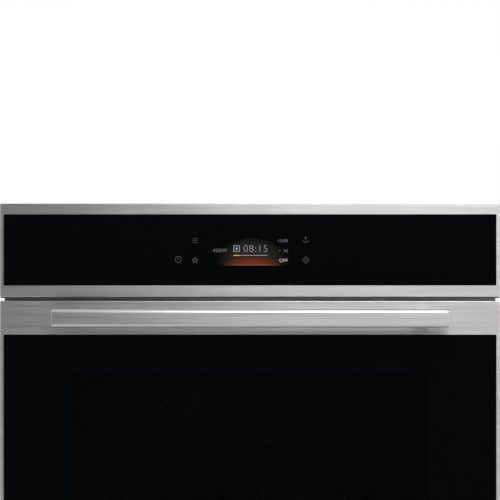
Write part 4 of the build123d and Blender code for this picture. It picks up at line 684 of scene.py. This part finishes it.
def build_lights(studio):
    """Near key over the right half of the panel, weak side and back fill, wide overhead light."""
    softbox("key_softbox", (0.25, -1.4, 1.2), (0.25, 0, 0.4), 0.7, studio.key_power)
    softbox("side_softbox", (2.2, -0.9, 1.2), (0, 0, 0.3), 1.6, studio.side_power)
    softbox("back_softbox", (-1.6, 2.4, 1.6), (0, 0.3, 0.2), 2.6, studio.back_power)
    softbox("top_softbox", (0, 0.3, 2.8), (0, 0.25, 0), 2.8, studio.top_power)


def build_world():
    """Plain soft surround, white to the camera. Metal and glass see it dark only behind the camera."""
    world = bpy.data.worlds.new("studio_world")
    bpy.context.scene.world = world
    world.use_nodes = True
    tree = world.node_tree
    tree.nodes.clear()
    way = node(tree, "ShaderNodeTexCoord").outputs["Generated"]
    ahead = node(tree, "ShaderNodeSeparateXYZ", {0: way}).outputs["Y"]
    # The backdrop is dark straight behind the camera, grey close round it, and white from the sides on
    rises = []
    for start, end, low, high in ((-0.99, -0.9, 0.02, 0.42), (-0.9, 0.2, 0.0, 0.58)):
        rises.append(node(tree, "ShaderNodeMapRange", {
            "Value": ahead, "From Min": start, "From Max": end, "To Min": low, "To Max": high}).outputs[0])
    backdrop = node(tree, "ShaderNodeMath", {0: rises[0], 1: rises[1]}, operation="ADD").outputs[0]
    path = node(tree, "ShaderNodeLightPath").outputs
    sharp = node(tree, "ShaderNodeMath", {
        0: path["Is Glossy Ray"], 1: path["Is Transmission Ray"]}, operation="MAXIMUM").outputs[0]
    level = tint(tree, sharp, (0.6, 0.6, 0.6), backdrop)
    level = tint(tree, path["Is Camera Ray"], level, (1.0, 1.0, 1.0))
    light = node(tree, "ShaderNodeBackground", {"Color": level, "Strength": 1.0})
    node(tree, "ShaderNodeOutputWorld", {"Surface": light.outputs[0]})


def build_camera(studio):
    """A long lens straight in front of the panel, as the photograph was taken."""
    camera = bpy.data.cameras.new("camera")
    camera.sensor_width = 36.0
    camera.lens = camera.sensor_width * studio.distance / studio.width
    camera.clip_end = 100.0
    holder = bpy.data.objects.new("camera", camera)
    holder.location = (0, FASCIA_FRONT - studio.distance, studio.height)
    holder.rotation_euler = (math.pi / 2, 0, 0)
    bpy.context.scene.collection.objects.link(holder)
    bpy.context.scene.camera = holder


# Settings

def colour_property(name, description, code):
    """A colour setting with its default from a hex code."""
    return bpy.props.FloatVectorProperty(
        name=name, description=description, subtype="COLOR", size=3, min=0, max=1, default=linear(code))


def length_property(name, description, default):
    """A length setting in metres."""
    return bpy.props.FloatProperty(name=name, description=description, unit="LENGTH", min=0, default=default)


def power_property(name, description, default):
    """The power of a light in watts."""
    return bpy.props.FloatProperty(name=name, description=description, unit="POWER", min=0, default=default)


class MicrowaveColours(bpy.types.PropertyGroup):
    """Colours of the finishes."""
    steel: colour_property("Steel", "Brushed stainless steel of the front", "#c2c2c3")
    zinc: colour_property("Zinc", "Galvanised sheet of the casing", "#b4b8bb")
    glass: colour_property("Glass", "Black print behind the front glass", "#040507")
    enamel: colour_property("Enamel", "Enamel of the cavity", "#37383b")
    black: colour_property("Black plastic", "Moulded housings", "#1b1b1c")
    white: colour_property("White plastic", "Rollers, coupling and plungers", "#dddcd6")
    symbols: colour_property("Symbols", "Light of the touch keys", "#707174")
    readings: colour_property("Readings", "Light of the readings", "#bcbdbf")
    accent: colour_property("Accent", "Warm light in the display", "#66301b")


class MicrowaveSizes(bpy.types.PropertyGroup):
    """Sizes of the added pieces."""
    key: length_property("Key size", "Width of a touch key's symbol", 7.6 * MM)
    line: length_property("Line", "Width of the symbols' lines", 0.36 * MM)
    readings: bpy.props.FloatProperty(
        name="Readings", description="Scale of the display's readings", subtype="FACTOR", min=0.5, max=1.5,
        default=1.0)
    pitch: length_property("Hole pitch", "Spacing of the screen's holes, drawn wide to show", 4.2 * MM)
    hole: length_property("Hole", "Width of a hole in the door's screen", 2.9 * MM)
    edge: length_property("Screen edge", "Plain edge of the door's screen", 12 * MM)
    spring_wire: length_property("Spring wire", "Radius of the hinge springs' wire", 0.55 * MM)
    spring_turns: bpy.props.IntProperty(
        name="Spring turns", description="Turns of each hinge spring", default=13, min=2)


class MicrowaveStudio(bpy.types.PropertyGroup):
    """Camera, lights and floor."""
    width: length_property("View width", "Width of the view at the front", 0.595)
    height: length_property("View height", "Height of the view's middle", 0.3996)
    distance: length_property("Distance", "Camera to the front", 6.0)
    key_power: power_property("Key", "Power of the near softbox over the panel", 12.0)
    side_power: power_property("Side", "Power of the softbox at the right", 20.0)
    back_power: power_property("Back", "Power of the wide softbox behind", 9.0)
    top_power: power_property("Top", "Power of the overhead softbox", 7.0)
    plinth: length_property("Plinth", "Height of the plinth under the casing", 0.12)
    floor: length_property("Floor", "Radius of the floor", 3.2)


# Operators

class MICROWAVE_OT_front(bpy.types.Operator):
    """Brushed steel and black glass of the front"""
    bl_idname = "microwave.front"
    bl_label = "Front"

    def execute(self, context):
        colours = context.scene.microwave_colours
        paint(brushed_stainless(tuple(colours.steel)),
              "control_fascia", "door_trim", "door_handle_bar", "door_handle_posts")
        paint(backed_black_glass(tuple(colours.glass)), "control_glass")
        paint(windowed_black_glass(tuple(colours.glass)), "door_glass")
        return {"FINISHED"}


class MICROWAVE_OT_casing(bpy.types.Operator):
    """Zinc coated casing, its screws and pressed parts"""
    bl_idname = "microwave.casing"
    bl_label = "Casing"

    def execute(self, context):
        colours = context.scene.microwave_colours
        paint(spangled_zinc(tuple(colours.zinc)), "base_plate", "left_side_panel", "right_side_panel",
              "top_cover", "rear_panel", "component_deck", "waveguide", "magnetron")
        paint(plated_steel(linear("#bfc3c8")), "front_frame", "door_switches", "hinge_levers",
              "hinge_channels", "hinge_rods", "door_strikers")
        paint(passivated_zinc(linear("#cfc9b8")), "casing_screws")
        return {"FINISHED"}


class MICROWAVE_OT_cavity(bpy.types.Operator):
    """Enamel, glass, rubber and heaters in and round the cavity"""
    bl_idname = "microwave.cavity"
    bl_label = "Cavity"

    def execute(self, context):
        colours = context.scene.microwave_colours
        paint(speckled_enamel(tuple(colours.enamel)), "cavity_liner")
        paint(black_enamel(linear("#161617")), "door_frame")
        paint(satin_stainless(linear("#b9b8b5")), "fan_cover", "roller_ring")
        paint(clear_glass("clear_float_glass", linear("#eef4f1"), 0.02), "door_inner_glass")
        paint(clear_glass("pressed_glass", linear("#e6f0ec"), 0.15), "turntable_plate", "lamp_cover")
        paint(silicone_rubber(linear("#3a3a3b")), "cavity_gasket")
        paint(heater_sheath(linear("#55524c")), "ring_element", "grill_element", "temperature_sensor")
        paint(mica_sheet(linear("#b09a72")), "mica_window")
        paint(glazed_ceramic(linear("#efece4")), "cavity_lamp")
        return {"FINISHED"}


class MICROWAVE_OT_inside(bpy.types.Operator):
    """Motors, fans, boards and housings round the cavity"""
    bl_idname = "microwave.inside"
    bl_label = "Inside"

    def execute(self, context):
        colours = context.scene.microwave_colours
        paint(moulded_plastic("moulded_black_plastic", tuple(colours.black), 0.45), "panel_carrier",
              "choke_cover", "blower_housing", "source_fan_frame", "mains_inlet", "display_module",
              "blower_rotor", "source_fan_blades", "air_duct")
        paint(moulded_plastic("moulded_white_plastic", tuple(colours.white), 0.35), "turntable_coupling",
              "roller_1", "roller_2", "roller_3", "switch_plungers")
        paint(laminated_steel(linear("#8f8f90")), "convection_motor", "turntable_motor", "blower_motor",
              "hv_transformer")
        paint(satin_aluminium(linear("#cdced0")), "convection_fan", "hv_capacitor")
        paint(solder_masked_board(linear("#155c33")), "power_board", "touch_board", "control_board")
        return {"FINISHED"}


class MICROWAVE_OT_wool(bpy.types.Operator):
    """Mineral wool blanket round the cavity"""
    bl_idname = "microwave.wool"
    bl_label = "Wool"

    def execute(self, context):
        wool_blanket(mineral_wool(linear("#cfc6a2")))
        return {"FINISHED"}


class MICROWAVE_OT_screen(bpy.types.Operator):
    """Perforated screen between the door's panes"""
    bl_idname = "microwave.screen"
    bl_label = "Door screen"

    def execute(self, context):
        sizes = context.scene.microwave_sizes
        middle, size = (SCREEN_LOW + SCREEN_HIGH) / 2, SCREEN_HIGH - SCREEN_LOW
        bm = perforated_sheet(sizes.pitch, sizes.hole, size.x, size.z, sizes.edge)
        stand_up(bm, middle.x, middle.z, middle.y, size.y)
        screen = piece("perforated_screen", bm, black_enamel(linear("#232425")), "door")
        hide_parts("door_screen")
        return {"FINISHED"}


class MICROWAVE_OT_springs(bpy.types.Operator):
    """Coil springs that balance the door"""
    bl_idname = "microwave.springs"
    bl_label = "Springs"

    def execute(self, context):
        sizes = context.scene.microwave_sizes
        coil_springs(drawn_wire(linear("#6e6f71")), sizes.spring_turns, sizes.spring_wire)
        return {"FINISHED"}


class MICROWAVE_OT_keys(bpy.types.Operator):
    """Lit touch keys on the control glass"""
    bl_idname = "microwave.keys"
    bl_label = "Touch keys"

    def execute(self, context):
        sizes = context.scene.microwave_sizes
        light = lit_print("lit_key_print", tuple(context.scene.microwave_colours.symbols))
        for name, draw, x, z in (
                ("key_menu", menu_key, -65.4, 410.9), ("key_clock", clock_key, -85.3, 388.3),
                ("key_star", star_key, -65.4, 387.5), ("key_lamp", lamp_key, 66.3, 411.6),
                ("key_start", diamond_key, 66.4, 387.8)):
            symbol = bmesh.new()
            draw(symbol, sizes.key, sizes.line)
            glass_print(name, symbol, x * MM, z * MM, light)
        return {"FINISHED"}


class MICROWAVE_OT_display(bpy.types.Operator):
    """Readings, lines and warm light of the display"""
    bl_idname = "microwave.display"
    bl_label = "Display"

    def execute(self, context):
        colours = context.scene.microwave_colours
        scale = context.scene.microwave_sizes.readings * MM
        text = lit_print("lit_reading", tuple(colours.readings))
        bold = lit_print("lit_bold_reading", linear("#cacaca"))
        for name, words, x, z, tall, material, align, weight in (
                ("reading_power", "450W", -44.4, 396.8, 4.2, text, "LEFT", -0.03),
                ("reading_time", "08:15", -8.2, 397.2, 8.0, text, "LEFT", -0.03),
                ("reading_clock", "12:00", 45.0, 409.0, 3.4, text, "RIGHT", -0.03),
                ("reading_step", "+ 10", 45.0, 396.8, 3.6, text, "RIGHT", -0.03),
                ("reading_off", "OFF", 45.0, 385.2, 4.0, bold, "RIGHT", 0.0)):
            lettering(name, words, x * MM, z * MM, tall * scale, material, align, weight)
        draw_display(text, tuple(colours.accent))
        return {"FINISHED"}


class MICROWAVE_OT_studio(bpy.types.Operator):
    """Floor, plinth, lights, world and camera"""
    bl_idname = "microwave.studio"
    bl_label = "Studio"

    def execute(self, context):
        studio = context.scene.microwave_studio
        build_stage(studio)
        build_lights(studio)
        build_world()
        build_camera(studio)
        context.scene.view_settings.view_transform = "Standard"
        return {"FINISHED"}


# Panel and registration

STEPS = (MICROWAVE_OT_front, MICROWAVE_OT_casing, MICROWAVE_OT_cavity, MICROWAVE_OT_inside, MICROWAVE_OT_wool,
         MICROWAVE_OT_screen, MICROWAVE_OT_springs, MICROWAVE_OT_keys, MICROWAVE_OT_display,
         MICROWAVE_OT_studio)
GROUPS = {"microwave_colours": MicrowaveColours, "microwave_sizes": MicrowaveSizes,
          "microwave_studio": MicrowaveStudio}


class MICROWAVE_PT_panel(bpy.types.Panel):
    """Lists the steps in the order in which they are made, and their settings"""
    bl_label = "Built-in microwave"
    bl_idname = "MICROWAVE_PT_panel"
    bl_space_type = "VIEW_3D"
    bl_region_type = "UI"
    bl_category = "Microwave"

    def draw(self, context):
        for step in STEPS:
            self.layout.operator(step.bl_idname)
        for name, group in GROUPS.items():
            box = self.layout.box()
            for key in group.__annotations__:
                box.prop(getattr(context.scene, name), key)


def register():
    """Registers the settings, the steps and the panel."""
    for name, group in GROUPS.items():
        bpy.utils.register_class(group)
        setattr(bpy.types.Scene, name, bpy.props.PointerProperty(type=group))
    for step in (*STEPS, MICROWAVE_PT_panel):
        bpy.utils.register_class(step)


def unregister():
    """Takes back what register did."""
    for step in (MICROWAVE_PT_panel, *reversed(STEPS)):
        bpy.utils.unregister_class(step)
    for name, group in GROUPS.items():
        delattr(bpy.types.Scene, name)
        bpy.utils.unregister_class(group)


def main():
    """Makes everything in order."""
    register()
    for step in STEPS:
        group, action = step.bl_idname.split(".")
        getattr(getattr(bpy.ops, group), action)()


if __name__ == "__main__":
    main()
